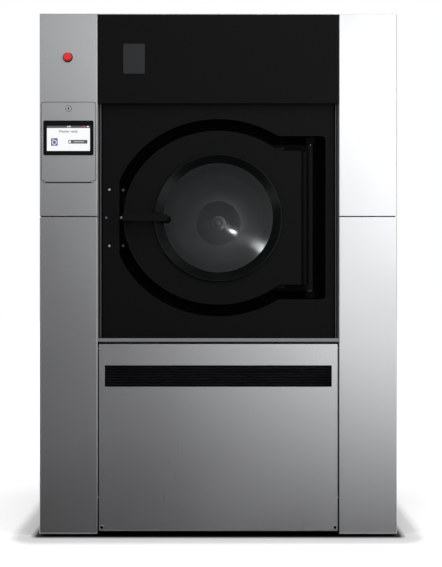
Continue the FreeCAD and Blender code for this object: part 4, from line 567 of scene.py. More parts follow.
class WASHER_OT_air_springs(bpy.types.Operator):
    """Blows up the four air springs: two rolled bellows each between bead plates, hooped at the waist"""

    bl_idname = "washer.air_springs"
    bl_label = "Air springs"

    def execute(self, context):
        low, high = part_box("air_springs")
        reach, plate, hoop, steps = 0.075, 0.004, 0.003, 12
        waist, bead = 0.8 * reach, 0.76 * reach
        bulge = reach - 0.0005 - waist
        height = high.z - low.z
        # In parts of the height: where each bellow starts, and how far it goes
        lower, upper, bellow = 0.045, 0.525, 0.43
        profile = [(0, low.z), (bead, low.z), (bead, low.z + plate)]
        for start in (lower, upper):
            for step in range(steps + 1):
                profile.append((waist + bulge * math.sin(math.pi * step / steps) ** 0.8,
                                low.z + height * (start + bellow * step / steps)))
            if start == lower:
                profile += [(waist + hoop, low.z + height * 0.485), (waist + hoop, low.z + height * 0.515)]
        profile += [(bead, high.z - plate), (bead, high.z), (0, high.z)]
        form = bmesh.new()
        for x in (low.x + reach, high.x - reach):
            for y in (low.y + reach, high.y - reach):
                lathe(form, profile, Matrix.Translation((x, y, 0)), segments=48)
        bellows = keep_form("air_spring_bellows", form, None, "black_rubber", replaced=["air_springs"])
        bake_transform(bellows)
        return {"FINISHED"}


class WASHER_OT_drive_belt(bpy.types.Operator):
    """Runs the ribbed drive belt round both pulleys"""

    bl_idname = "washer.drive_belt"
    bl_label = "Drive belt"

    def execute(self, context):
        ribs = context.scene.washer_sizes.belt_ribs
        low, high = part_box("drive_belt")
        wheels = []
        for node in ("drum_pulley", "motor_pulley"):
            least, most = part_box(node)
            wheels.append(((least.z + most.z) / 2, (most.z - least.z) / 2))
        (top, wide), (bottom, narrow) = wheels
        lean = math.asin((wide - narrow) / (top - bottom))
        thick = high.x - wide
        valley, tip = 0.35 * thick, 0.0003
        pitch = (high.y - low.y) / ribs
        section = [(thick, high.y), (thick, low.y), (valley, low.y)]
        for rib in range(ribs):
            section += [(tip, low.y + (rib + 0.35) * pitch), (tip, low.y + (rib + 0.65) * pitch),
                        (valley, low.y + (rib + 1) * pitch)]
        over, under = 72, 36
        path = [(top, wide, -lean + (math.pi + 2 * lean) * s / over) for s in range(over + 1)]
        path += [(bottom, narrow, math.pi + lean + (math.pi - 2 * lean) * s / under)
                 for s in range(under + 1)]
        form = bmesh.new()
        rings = []
        for centre, radius, angle in path:
            across, up = math.cos(angle), math.sin(angle)
            rings.append([form.verts.new(((radius + rise) * across, y, centre + (radius + rise) * up))
                          for rise, y in section])
        for near, far in zip(rings, rings[1:] + rings[:1]):
            for i in range(len(section)):
                after = (i + 1) % len(section)
                form.faces.new((near[i], near[after], far[after], far[i]))
        keep_form("ribbed_drive_belt", form, "tub", "belt_rubber", replaced=["drive_belt"], angle=30)
        return {"FINISHED"}


def holed_tile(outer, wall, turn, half, hole):
    """One tile of the drum's wall on the drum's own curve, with a round hole of that radius in its middle."""
    form = bmesh.new()
    hole_sides = 8
    corners = ((turn, -half), (turn, half), (0, half), (-turn, half), (-turn, -half), (0, -half))
    # Each face by its points: those of the tile's edge are 0 to 5, and those of the hole 6 to 13
    faces = ((0, 1, 6), (1, 7, 6), (0, 6, 13), (1, 2, 8, 7), (2, 3, 9, 8), (3, 4, 10), (3, 10, 9),
             (4, 11, 10), (4, 5, 12, 11), (5, 0, 13, 12))
    rings = []
    for radius in (outer, outer - wall):
        places = list(corners)
        for k in range(hole_sides):
            angle = 2 * math.pi * k / hole_sides
            places.append((hole / radius * math.cos(angle), hole * math.sin(angle)))
        points = [form.verts.new((-radius * math.sin(lean), along, radius * math.cos(lean)))
                  for lean, along in places]
        for face in faces:
            picked = [points[i] for i in face]
            form.faces.new(picked if radius != outer else picked[::-1])
        rings.append(points[len(corners):])
    for k in range(hole_sides):
        after = (k + 1) % hole_sides
        form.faces.new((rings[0][k], rings[0][after], rings[1][after], rings[1][k]))
    tile = bpy.data.meshes.new("drum_tile")
    form.to_mesh(tile)
    form.free()
    return tile


class WASHER_OT_drum_wall(bpy.types.Operator):
    """Makes the drum's wall with its rows of holes, and its front with the rolled mouth"""

    bl_idname = "washer.drum_wall"
    bl_label = "Perforated drum wall"

    def execute(self, context):
        sizes = context.scene.washer_sizes
        low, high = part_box("drum_shell")
        outer, wall, lip = high.x, 0.003, 0.015
        inner = outer - wall
        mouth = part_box("door_seal")[1].x - 0.0073
        first, last = low.y + 0.04, high.y - 0.03
        rows, columns = sizes.hole_rows, sizes.hole_columns
        half = (last - first) / rows / 2
        turn = math.pi / columns
        places = []
        for row in range(rows):
            for column in range(columns):
                angle = 2 * turn * (column + 0.5 * (row % 2))
                facing = (math.cos(angle), 0, math.sin(angle))
                places.append(((0, first + (2 * row + 1) * half, DRUM_HEIGHT), facing))
        tile = holed_tile(outer, wall, turn, half, sizes.hole_width / 2)
        holes = planted("drum_holes", places, tile, FINISHES["stainless_drum"], (0, 1, 0))
        form = bmesh.new()
        form.from_mesh(holes)
        rolled_mouth = ((outer, first), (outer, low.y + 0.012), (outer - 0.004, low.y + 0.004),
                        (outer - 0.012, low.y), (mouth + 0.004, low.y), (mouth, low.y + 0.004),
                        (mouth, low.y + lip), (mouth + wall, low.y + lip), (mouth + wall, low.y + wall),
                        (inner - 0.006, low.y + wall), (inner, low.y + 0.010), (inner, first))
        back_hem = ((inner, last), (inner, high.y), (outer, high.y), (outer, last))
        place = facing_front((0, 0, DRUM_HEIGHT))
        for outline in (rolled_mouth, back_hem):
            lathe(form, [(radius, -y) for radius, y in outline], place, 2 * columns, closed=False)
        keep_form("perforated_drum_wall", form, "drum", "stainless_drum", replaced=["drum_shell"], angle=35)
        return {"FINISHED"}


class WASHER_OT_hub_cover(bpy.types.Operator):
    """Spins the domed cover over the drum's hub, with its bead and its middle screw"""

    bl_idname = "washer.hub_cover"
    bl_label = "Drum hub cover"

    def execute(self, context):
        front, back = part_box("drum_back")[0].y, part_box("drum_shell")[1].y
        bead, rim, top = 0.0305, 0.0855, front - 0.0044
        foot, swell, steps = bead + 0.0015, 1.9, 12
        profile = [(0, top - 0.0022), (0.012, top - 0.0022), (0.0145, top - 0.0014), (0.0155, top + 0.0004),
                   (bead - 0.002, top + 0.0016), (bead - 0.0005, top), (foot, top + 0.002)]
        for step in range(1, steps + 1):
            reach = foot + (rim - foot) * step / steps
            profile.append((reach, top + swell * reach ** 2))
        profile += [(rim + 0.0008, profile[-1][1] + 0.0005), (rim + 0.001, back - 0.0003), (0, back - 0.0003)]
        form = bmesh.new()
        lathe(form, [(radius, -y) for radius, y in profile], facing_front((0, 0, DRUM_HEIGHT)), segments=96)
        # Painted light: the cover's tone is the drum steel made 1.25 times lighter, so that it looks as
        # bright as the spun back round it
        cover = spun_steel("spun_hub_cover", shade(context.scene.washer_colours.drum_steel, 1.25))
        keep_form("spun_hub_cover", form, "drum", "stainless_drum", cover)
        return {"FINISHED"}


class WASHER_OT_lock_ring(bpy.types.Operator):
    """Sets the rubber ring round the cam lock, and the keyway in its face"""

    bl_idname = "washer.lock_ring"
    bl_label = "Lock ring and keyway"

    def execute(self, context):
        low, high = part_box("cam_lock")
        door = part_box("control_door")[0]
        reach = (high.z - low.z) / 2
        across, up = low.x + reach, low.z + reach
        slit, slot_reach = 0.0009, 0.0052
        ring, keyway = bmesh.new(), bmesh.new()
        disc(ring, (across, door.y, up), reach + 0.0016, depth=0.0012, sides=32, hole=reach + 0.0001)
        keep_form("lock_ring", ring, "control_door", "black_rubber")
        disc(keyway, (across, low.y, up), radius=0.0028, depth=0.0002, sides=20)
        block(keyway, (across - slit, low.y - 0.0003, up - slot_reach),
              (across + slit, low.y, up + slot_reach))
        keep_form("lock_keyway", keyway, "lock", "black_plastic")
        return {"FINISHED"}


class WASHER_OT_front_fittings(bpy.types.Operator):
    """Fits the screw plug between the panel screws, the fasteners' sockets in painted shade and the lower
    hem's bead with a painted highlight
    """

    bl_idname = "washer.front_fittings"
    bl_label = "Front panel fittings"

    def execute(self, context):
        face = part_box("front_door_panel")[0].y
        plug_places = [((-0.402, face, DRUM_HEIGHT), FRONT)]
        mesh = planted("panel_plug", plug_places, screw_pattern(radius=0.004, height=0.0022),
                       FINISHES["frame_coat"])
        keep("panel_plug", mesh, None, "cabinet")
        low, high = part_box("bottom_front_panel")
        socket_inset, socket_rise = 0.009, 0.013
        # Painted shade: the sockets are black discs, for the shadow in their holes
        form = bmesh.new()
        for side in (-1, 1):
            disc(form, (side * (high.x - socket_inset), low.y - 0.001, low.z + socket_rise), radius=0.0055,
                 depth=0.0008)
        keep_form("quarter_turn_sockets", form, "cabinet", "black_plastic", FINISHES["painted_shade_gap"])
        # Painted highlight: the hem's bead takes the pale finish, for the bright line where light catches the
        # panel's folded lower edge
        margin, hem_stand, hem_top = 0.001, 0.0022, 0.0046
        form = bmesh.new()
        block(form, (low.x + margin, low.y - hem_stand, low.z + 0.0002),
              (high.x - margin, low.y - 0.0001, low.z + hem_top), bevel=0.0018)
        keep_form("lower_hem_bead", form, "cabinet", "stainless_skin", FINISHES["pale_edge"])
        return {"FINISHED"}


class WASHER_OT_trim_grooves(bpy.types.Operator):
    """Lays painted shadow in black along the edge strips' grooves and their joint to the door panel, and a
    painted highlight on the ledge's face
    """

    bl_idname = "washer.trim_grooves"
    bl_label = "Trim painted shadow strips"

    def execute(self, context):
        low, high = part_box("door_panel_trims")
        panel_low, panel_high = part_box("front_door_panel")
        margin, stand, ledge_top = 0.001, 0.0006, 0.0125
        # Each strip's distances from the middle, and the face that it lies on: the groove, then the joint
        strips = ((0.4225, 0.4252, low.y), (0.4143, 0.4196, panel_low.y))
        # Painted shadow: black strips in the grooves and the joint, where shade falls between the strips and
        # the panel
        form = bmesh.new()
        for side in (-1, 1):
            for inner, outer, face in strips:
                left, right = sorted((side * inner, side * outer))
                block(form, (left, face - stand, panel_low.z + margin), (right, face, panel_high.z - margin),
                      bevel=0.0002)
        keep_form("trim_sealing_strips", form, "cabinet", "black_rubber", FINISHES["painted_shade_gap"])
        # Painted highlight: a pale face on the ledge, where light falls on it from above
        form = bmesh.new()
        block(form, (low.x + margin, FRONT_FACE - stand, low.z + margin),
              (high.x - margin, FRONT_FACE, low.z + ledge_top), bevel=0.0003)
        keep_form("ledge_face", form, "cabinet", "stainless_skin", FINISHES["pale_edge"])
        return {"FINISHED"}


def flat_words(name, words, size, place):
    """The mesh of a few raised characters that face the front, from their lower left corner."""
    curve = bpy.data.curves.new(name, "FONT")
    curve.body = words
    curve.size = size
    curve.extrude = 0.0001
    curve.offset = 0.0002
    holder = bpy.data.objects.new(name, curve)
    bpy.context.scene.collection.objects.link(holder)
    graph = bpy.context.evaluated_depsgraph_get()
    mesh = bpy.data.meshes.new_from_object(holder.evaluated_get(graph))
    bpy.data.objects.remove(holder)
    mesh.transform(facing_front(place))
    return mesh


class WASHER_OT_display(bpy.types.Operator):
    """Draws the lit picture on the touchscreen: a status bar, a washer sign and a button"""

    bl_idname = "washer.display"
    bl_label = "Display picture"

    def execute(self, context):
        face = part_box("touchscreen")[0].y
        bezel_low, bezel_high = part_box("display_bezel")
        left, right = bezel_low.x + 0.0125, bezel_high.x - 0.0125
        bottom, top = bezel_low.z + 0.0155, bezel_high.z - 0.0175
        wide, tall = right - left, top - bottom
        film = 0.0002
        white = lit_finish("lit_white", "#FAFBFC")
        grey = lit_finish("lit_grey", "#5A5B5E")
        violet = lit_finish("lit_violet", "#6A6B98")
        red = lit_finish("lit_red", "#CF5A5C")

        def show(name, material, layer, boxes=(), discs=()):
            """Lays one film of the picture, its places in parts of the screen's width and height."""
            back = face - film * layer
            form = bmesh.new()
            for x0, z0, x1, z1 in boxes:
                block(form, (left + x0 * wide, back - film, bottom + z0 * tall),
                      (left + x1 * wide, back, bottom + z1 * tall))
            for x, z, radius, hole in discs:
                disc(form, (left + x * wide, back, bottom + z * tall), radius, film, sides=28, hole=hole)
            keep_form(name, form, "control_door", "screen", material)

        show("display_page", white, 0, [(0, 0, 1, 1)])
        show("display_bar", grey, 1, [(0, 0.895, 1, 1), (0.5, 0.285, 0.94, 0.43)])
        show("display_marks", white, 2, [(0.52, 0.31, 0.555, 0.405), (0.93, 0.935, 0.97, 0.975),
                                         (0.62, 0.348, 0.86, 0.366)])
        show("display_lamp", red, 2, [(0.84, 0.93, 0.885, 0.98)])
        show("display_sign", violet, 1, [(0.095, 0.20, 0.25, 0.50)])
        show("display_sign_drum", white, 2, [(0.115, 0.455, 0.16, 0.475)], [(0.1725, 0.335, 0.0085, 0.0062)])
        wording = (("display_title", "Washer ready", 0.0118, 0.272, 0.725, grey),
                   ("display_clock", "10:30", 0.0065, 0.46, 0.93, white))
        for name, words, size, x, z, material in wording:
            mesh = flat_words(name, words, size, (left + x * wide, face - 0.0005, bottom + z * tall))
            keep(name, mesh, material, "control_door")
        return {"FINISHED"}


class WASHER_OT_control_board(bpy.types.Operator):
    """Lays the control board with its relays and terminals in the box behind the control door"""

    bl_idname = "washer.control_board"
    bl_label = "Control board"

    def execute(self, context):
        low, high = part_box("control_box")
        wall = high.y - 0.0025
        left, right, bottom, top = low.x + 0.028, high.x - 0.028, low.z + 0.034, high.z - 0.05
        face, thick, inset = wall - 0.0066, 0.0016, 0.006
        relay_wide, relay_deep, relay_tall = 0.017, 0.006, 0.022
        terminal_wide, terminal_deep, terminal_tall = 0.0115, 0.0065, 0.014
        # Glass-fibre board under solder mask: deep green, half gloss, with the weave just showing
        mask = finish("green_solder_mask", linear("#1F5A3C"), 0.12, (0.28, 0.4), 0.0009, 0.00003, cloud=0.02)
        # Terminal plastic: pale green moulding
        pale = finish("green_terminal_plastic", linear("#4E9B6A"), 0.05, (0.35, 0.45), 0.002, 0.00003,
                      cloud=0.02)
        board, relays, terminals = bmesh.new(), bmesh.new(), bmesh.new()
        block(board, (left, face, bottom), (right, face + thick, top), bevel=0.0004)
        for x in (left + inset, right - inset):
            for z in (bottom + inset, top - inset):
                disc(board, (x, wall, z), radius=0.004, depth=wall - face - thick, sides=16)
        for row in range(3):
            for column in range(5):
                x, z = left + 0.014 + 0.024 * column, bottom + 0.050 + 0.030 * row
                block(relays, (x, face - relay_deep, z), (x + relay_wide, face, z + relay_tall), bevel=0.0008)
        block(relays, (left + 0.045, face - 0.0025, top - 0.062), (left + 0.073, face, top - 0.034),
              bevel=0.0004)
        for column in range(4):
            disc(relays, (right - 0.052 + 0.012 * column, face, top - 0.024), radius=0.0045, depth=0.006,
                 sides=20)
        for column in range(10):
            x = left + 0.010 + 0.0125 * column
            block(terminals, (x, face - terminal_deep, bottom + inset),
                  (x + terminal_wide, face, bottom + inset + terminal_tall), bevel=0.0008)
            disc(terminals, (x + 0.0057, face - terminal_deep, bottom + 0.0125), radius=0.0026,
                 depth=0.0006, sides=12)
        keep_form("control_board", board, "cabinet", "grey_plastic", mask)
        keep_form("board_relays", relays, "cabinet", "black_plastic")
        keep_form("board_terminals", terminals, "cabinet", "grey_plastic", pale)
        return {"FINISHED"}


def screw_pattern(radius, height):
    """A pan-head screw with a six-sided socket, standing on Z."""
    form = bmesh.new()
    sides = 12
    rings = []
    for reach, z, six_sided in ((1.0, 0, False), (1.0, 0.35, False), (0.86, 0.8, False), (0.62, 1.0, False),
                                (0.44, 1.0, True), (0.40, 0.35, True)):
        ring = []
        for s in range(sides):
            angle = 2 * math.pi * s / sides
            inset = math.cos(math.pi / 6) if six_sided and s % 2 else 1.0
            ring.append(form.verts.new((radius * reach * inset * math.cos(angle),
                                        radius * reach * inset * math.sin(angle), height * z)))
        rings.append(ring)
    for low, high in zip(rings, rings[1:]):
        for s in range(sides):
            form.faces.new((low[s], low[(s + 1) % sides], high[(s + 1) % sides], high[s]))
    form.faces.new(rings[-1])
    form.faces.new(rings[0][::-1])
    return to_mesh("panel_screw", form, 35)


class WASHER_OT_keeper_bolts(bpy.types.Operator):
    """Bolts the latch keeper to the tub, and sleeves the stud that the latch grips"""

    bl_idname = "washer.keeper_bolts"
    bl_label = "Keeper bolts"

    def execute(self, context):
        low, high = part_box("latch_keeper")
        face, spread = low.y + 0.024, 0.1
        across, up = (low.x + high.x) / 2, (low.z + high.z) / 2
        places = [((across, face, up + lift), FRONT) for lift in (-spread, spread)]
        mesh = planted("keeper_bolts", places, screw_pattern(radius=0.0054, height=0.0046),
                       FINISHES["frame_coat"])
        keep("keeper_bolts", mesh, None, "tub")
        sleeve = [(0.0046, 0), (0.0064, 0), (0.0064, 0.003), (0.0048, 0.0034), (0.0048, 0.0225),
                  (0.0034, 0.0243), (0, 0.0243), (0, 0.0236), (0.0046, 0.0236)]
        form = bmesh.new()
        lathe(form, sleeve, facing_front((low.x + 0.0075, face, up)), segments=24)
        keep_form("keeper_stud_sleeve", form, "tub", "zinc_steel")
        return {"FINISHED"}


class WASHER_OT_lever_painted_shadow(bpy.types.Operator):
    """Sets a black disc behind the end of the door lever: a painted shadow of the lever's end on the ring"""

    bl_idname = "washer.lever_buffer"
    bl_label = "Lever painted shadow"

    def execute(self, context):
        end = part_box("door_handle")[1].x
        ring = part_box("glass_ring")[0].y
        radius, depth = 0.0145, 0.019
        form = bmesh.new()
        # Painted shadow: the disc sits a little lower than the lever's end and reaches past it, in the
        # painted-shade black
        disc(form, (end - 0.0055, ring - 0.0015, DRUM_HEIGHT - 0.007), radius, depth, sides=40)
        keep_form("lever_buffer", form, "handle", "black_rubber", FINISHES["painted_shade_gap"])
        return {"FINISHED"}


class WASHER_OT_hinge_gussets(bpy.types.Operator):
    """Fits the gusset plates where the hinge arms leave the door, and black sheets of painted shade beside
    them
    """

    bl_idname = "washer.hinge_gussets"
    bl_label = "Hinge gussets"

    def execute(self, context):
        low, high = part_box("hinge_tube")
        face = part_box("hinge_pin")[0].y + 0.002
        arm, lap, thick = 0.0215, 0.009, 0.003
        form = bmesh.new()
        for edge, side in ((high.z, 1), (low.z, -1)):
            wide, narrow = edge - side * arm, edge - side * lap
            outline = [(low.x + 0.012, wide), (low.x + 0.044, wide), (low.x + 0.050, narrow),
                       (low.x + 0.020, narrow)]
            back, front = ([form.verts.new((x, y, z)) for x, z in outline] for y in (face, face - thick))
            form.faces.new(back)
            form.faces.new(front[::-1])
            for i in range(len(outline)):
                after = (i + 1) % len(outline)
                form.faces.new((back[i], back[after], front[after], front[i]))
        bmesh.ops.bevel(form, geom=form.edges[:], offset=0.0006, segments=2, affect="EDGES", profile=0.5)
        keep_form("hinge_gussets", form, "door", "black_coat", angle=30)
        # Painted shade: black sheets on the arms, and a black edge strip where the door plate ends beside the
        # tube, where the recess lies in shadow
        form = bmesh.new()
        for edge, side in ((high.z, 1), (low.z, -1)):
            bottom, top = sorted((edge + side * 0.0004, edge - side * arm))
            block(form, (low.x, face - 0.0008, bottom), (high.x - 0.0255, face - 0.0001, top))
        plate_low, plate_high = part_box("door_plate")
        block(form, (plate_high.x - 0.0085, plate_low.y - 0.0006, low.z + arm),
              (plate_high.x + 0.0006, plate_low.y + 0.012, high.z - arm), bevel=0.0003)
        keep_form("hinge_side_shields", form, "door", "black_coat", FINISHES["painted_shade_gap"], angle=30)
        return {"FINISHED"}


class WASHER_OT_control_gasket(bpy.types.Operator):
    """Lays the thin rubber gasket that shows round the edge of the control door"""

    bl_idname = "washer.control_gasket"
    bl_label = "Control door gasket"

    def execute(self, context):
        low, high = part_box("control_door")
        hinge, bottom = low.z, low.z + 0.007
        inner, reach, corner, thick, steps = 0.006, 0.0022, 0.008, 0.0009, 6
        strip_inset, strip_rise = 0.014, 0.002
        centres = ((high.x - corner, high.z - corner), (low.x + corner, high.z - corner),
                   (low.x + corner, bottom + corner), (high.x - corner, bottom + corner))
        form = bmesh.new()
        loops = []
        for depth in (FRONT_FACE - thick, FRONT_FACE):
            for radius in (corner + reach, corner - inner):
                loop = []
                for quarter, (x, z) in enumerate(centres):
                    for step in range(steps + 1):
                        angle = (quarter + step / steps) * math.pi / 2
                        loop.append(form.verts.new((x + radius * math.cos(angle), depth,
                                                    z + radius * math.sin(angle))))
                loops.append(loop)
        front_out, front_in, back_out, back_in = loops
        for i in range(len(front_out)):
            after = (i + 1) % len(front_out)
            for one, two in ((front_out, front_in), (back_in, back_out), (back_out, front_out),
                             (front_in, back_in)):
                form.faces.new((one[i], one[after], two[after], two[i]))
        # A straight strip of it shows under the hinge
        block(form, (low.x + strip_inset, FRONT_FACE - thick, hinge - reach),
              (high.x - strip_inset, FRONT_FACE, hinge + strip_rise))
        keep_form("control_door_gasket", form, "cabinet", "black_rubber")
        return {"FINISHED"}


def round_frame(low, high, edge, pitch):
    """Places a little inside the four sides of a rectangle, corners included, at most the pitch apart."""
    low, high = [l + edge for l in low], [h - edge for h in high]
    places = []
    steps = [max(1, math.ceil((h - l) / pitch)) for l, h in zip(low, high)]
    for i in range(steps[0] + 1):
        across = low[0] + (high[0] - low[0]) * i / steps[0]
        places += [(across, low[1]), (across, high[1])]
    for i in range(1, steps[1]):
        up = low[1] + (high[1] - low[1]) * i / steps[1]
        places += [(low[0], up), (high[0], up)]
    return places


class WASHER_OT_panel_screws(bpy.types.Operator):
    """Screws the side, back and top panels to the frame"""

    bl_idname = "washer.panel_screws"
    bl_label = "Panel screws"

    def execute(self, context):
        sizes = context.scene.washer_sizes
        edge, pitch = 0.016, sizes.screw_pitch
        places = []
        for node, side in (("left_side_panel", -1), ("right_side_panel", 1)):
            low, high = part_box(node)
            face = low.x if side < 0 else high.x
            for y, z in round_frame((low.y, low.z), (high.y, high.z), edge, pitch):
                places.append(((face, y, z), (side, 0, 0)))
        low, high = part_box("rear_panel")
        for x, z in round_frame((low.x, low.z), (high.x, high.z), edge, pitch):
            places.append(((x, high.y, z), (0, 1, 0)))
        low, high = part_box("top_panel")
        for x, y in round_frame((low.x, low.y), (high.x, high.y), edge, 1.6 * pitch):
            places.append(((x, y, high.z), (0, 0, 1)))
        mesh = planted("panel_screws", places, screw_pattern(sizes.screw_radius, sizes.screw_height),
                       FINISHES["zinc_steel"])
        keep("panel_screws", mesh, None, "cabinet")
        return {"FINISHED"}


class WASHER_OT_back_louvres(bpy.types.Operator):
    """Presses two columns of louvres in the back, where the drive takes its air"""

    bl_idname = "washer.back_louvres"
    bl_label = "Back louvres"

    def execute(self, context):
        sizes = context.scene.washer_sizes
        long, stand, tall = sizes.louvre_length / 2, sizes.louvre_stand, 0.62 * sizes.louvre_pitch
        columns, rows, lowest, sheet = (-0.2, 0.2), 13, 0.60, 0.001
        slices, steps, end_part = 16, 6, 0.14
        form = bmesh.new()
        grid = []
        for i in range(slices + 1):
            u = -1 + 2 * i / slices
            taper = min(1.0, (1 - abs(u)) / end_part) ** 0.6
            line = []
            for j in range(steps + 1):
                v = j / steps
                rise = stand * taper * math.sin(v * math.pi / 2) ** 0.8
                line.append(form.verts.new((u * long, tall / 2 - tall * v, rise)))
            grid.append(line)
        for a, b in zip(grid, grid[1:]):
            for j in range(steps):
                form.faces.new((a[j], a[j + 1], b[j + 1], b[j]))
        bmesh.ops.solidify(form, geom=form.faces[:], thickness=sheet)
        hood = to_mesh("louvre_hood", form, 50)
        form = bmesh.new()
        block(form, (-0.92 * long, -tall / 2 - 0.002, 0), (0.92 * long, tall / 2 - 0.006, 0.0004))
        opening = to_mesh("louvre_slot", form)
        places = [((x, BACK_FACE, lowest + row * sizes.louvre_pitch), (0, 1, 0))
                  for x in columns for row in range(rows)]
        for name, pattern, slot in (("back_louvres", hood, "stainless_skin"),
                                    ("back_louvre_slots", opening, "black_plastic")):
            keep(name, planted(name, places, pattern, FINISHES[slot]), None, "cabinet")
        return {"FINISHED"}


def studio_card(name, corners, material, shown=True):
    """A flat stage card. One that isn't shown only stands in reflections, as a studio flag does."""
    mesh = bpy.data.meshes.new(name)
    mesh.from_pydata(corners, [], [tuple(range(len(corners)))])
    mesh.materials.append(material)
    card = bpy.data.objects.new(name, mesh)
    bpy.context.scene.collection.objects.link(card)
    if not shown:
        card.visible_camera = False
        card.visible_shadow = False
        card.visible_diffuse = False


def standing(left, right, depth, bottom, top):
    """Corners of an upright card that faces the machine's front."""
    return [(left, depth, bottom), (right, depth, bottom), (right, depth, top), (left, depth, top)]


def soft_box(name, place, target, size, watts):
    """A soft box that faces a point."""
    data = bpy.data.lights.new(name, "AREA")
    data.shape = "RECTANGLE"
    data.size, data.size_y = size
    data.energy = watts
    lamp = bpy.data.objects.new(name, data)
    bpy.context.scene.collection.objects.link(lamp)
    lamp.location = place
    lamp.rotation_euler = (Vector(target) - Vector(place)).to_track_quat("-Z", "Y").to_euler()
    return lamp


def seen_directly(tree):
    """Output that is 1 for rays from the camera, from gloss and through glass, and 0 for falling light."""
    ray = add(tree, "ShaderNodeLightPath")
    shiny = add(tree, "ShaderNodeMath", {0: ray.outputs["Is Camera Ray"], 1: ray.outputs["Is Glossy Ray"]},
                operation="MAXIMUM")
    seen = add(tree, "ShaderNodeMath", {0: shiny.outputs["Value"], 1: ray.outputs["Is Transmission Ray"]},
               operation="MAXIMUM")
    return seen.outputs["Value"]


def floor_finish():
    """Studio floor: pale and matt, with a painted shadow that is dark where the machine meets it and grey a
    little way out, and white away from it.
    """
    floor, tree, shader, place = blank_finish("pale_studio_floor")
    low = Vector((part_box("left_side_panel")[0].x, FRONT_FACE, 0))
    high = Vector((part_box("right_side_panel")[1].x, BACK_FACE, 0))
    middle, half = (low + high) / 2, (high - low) / 2
    moved = add(tree, "ShaderNodeVectorMath", {0: place, 1: (middle.x, middle.y, 0)}, operation="SUBTRACT")
    folded = add(tree, "ShaderNodeVectorMath", {0: moved.outputs["Vector"]}, operation="ABSOLUTE")
    past = add(tree, "ShaderNodeVectorMath", {0: folded.outputs["Vector"], 1: (half.x, half.y, 0)},
               operation="SUBTRACT")
    outside = add(tree, "ShaderNodeVectorMath", {0: past.outputs["Vector"], 1: (0, 0, 0)},
                  operation="MAXIMUM")
    # The painted shadow ends three times nearer the machine at its sides than in front of it, where the floor
    # turns white
    nearer = add(tree, "ShaderNodeVectorMath", {0: outside.outputs["Vector"], 1: (3, 1, 1)},
                 operation="MULTIPLY")
    distance = add(tree, "ShaderNodeVectorMath", {0: nearer.outputs["Vector"]}, operation="LENGTH")
    # Each step of the floor's white, out of the painted shadow round the machine, starts and ends at a
    # distance in metres and adds its gain of light
    steps = []
    for start, end, gain in ((0.03, 0.1, 0.18), (0.1, 0.26, 0.1), (0.22, 0.34, 0.32), (0.34, 2.5, 0.4)):
        rise = add(tree, "ShaderNodeMapRange", {"Value": distance.outputs["Value"], "From Min": start,
                                                "From Max": end, "To Min": 0.0, "To Max": gain})
        steps.append(rise.outputs["Result"])
    total = steps[0]
    for part in steps[1:]:
        total = add(tree, "ShaderNodeMath", {0: total, 1: part}, operation="ADD").outputs["Value"]
    glow = add(tree, "ShaderNodeMath", {0: total, 1: seen_directly(tree)}, operation="MULTIPLY")
    # Painted contact shadow: the floor's colour is near black right at the machine and turns pale by 0.1 m
    # out
    painted_contact_shadow = add(tree, "ShaderNodeMapRange", {"Value": distance.outputs["Value"], "From Min": 0.03,
                                               "From Max": 0.1})
    dark, pale = (*linear("#0A0A0A"), 1), (*linear("#C4C4C4"), 1)
    tint = add(tree, "ShaderNodeMix", {0: painted_contact_shadow.outputs["Result"], 6: dark, 7: pale}, data_type="RGBA")
    tree.links.new(tint.outputs[2], shader.inputs["Base Color"])
    shader.inputs["Roughness"].default_value = 0.8
    shader.inputs["Specular IOR Level"].default_value = 0.1
    shader.inputs["Emission Color"].default_value = (1, 1, 1, 1)
    tree.links.new(glow.outputs["Value"], shader.inputs["Emission Strength"])
    return floor


def silk_finish():
    """Silk reflector, lit most at its upper right: it draws the long gradients on the brushed steel."""
    silk, tree, shader, place = blank_finish("silk_reflector")
    axes = add(tree, "ShaderNodeSeparateXYZ", {"Vector": place})
    # Each ramp of light has an axis, its start and end in metres, and its level at both
    ramps = {"across": ("X", -0.46, 1.2, 0.0, 1.76), "rise": ("Z", 0.0, 1.35, 0.93, 1.5),
             "crown": ("Z", 1.45, 2.5, 0.0, 1.3), "skirt": ("Z", 0.0, 0.7, 0.47, 1.14)}
    levels = {}
    for name, (axis, start, end, first, last) in ramps.items():
        ramp = add(tree, "ShaderNodeMapRange", {"Value": axes.outputs[axis], "From Min": start,
                                                "From Max": end, "To Min": first, "To Max": last})
        levels[name] = ramp.outputs["Result"]
    upward = add(tree, "ShaderNodeMath", {0: levels["rise"], 1: levels["skirt"]}, operation="MULTIPLY")
    glow = add(tree, "ShaderNodeMath", {0: levels["across"], 1: upward.outputs["Value"], 2: levels["crown"]},
               operation="MULTIPLY_ADD")
    shader.inputs["Base Color"].default_value = (0, 0, 0, 1)
    shader.inputs["Emission Color"].default_value = (1, 1, 1, 1)
    tree.links.new(glow.outputs["Value"], shader.inputs["Emission Strength"])
    return silk


def light_room(scene, level):
    """Sets a white room that lights things at that level and looks full white where it is seen."""
    world = bpy.data.worlds.new("studio_room")
    scene.world = world
    world.use_nodes = True
    tree = world.node_tree
    tree.nodes.clear()
    strength = add(tree, "ShaderNodeMapRange", {"Value": seen_directly(tree), "To Min": level, "To Max": 1.0})
    sky = add(tree, "ShaderNodeBackground", {"Color": (1, 1, 1, 1), "Strength": strength.outputs["Result"]})
    add(tree, "ShaderNodeOutputWorld", {"Surface": sky.outputs["Background"]})


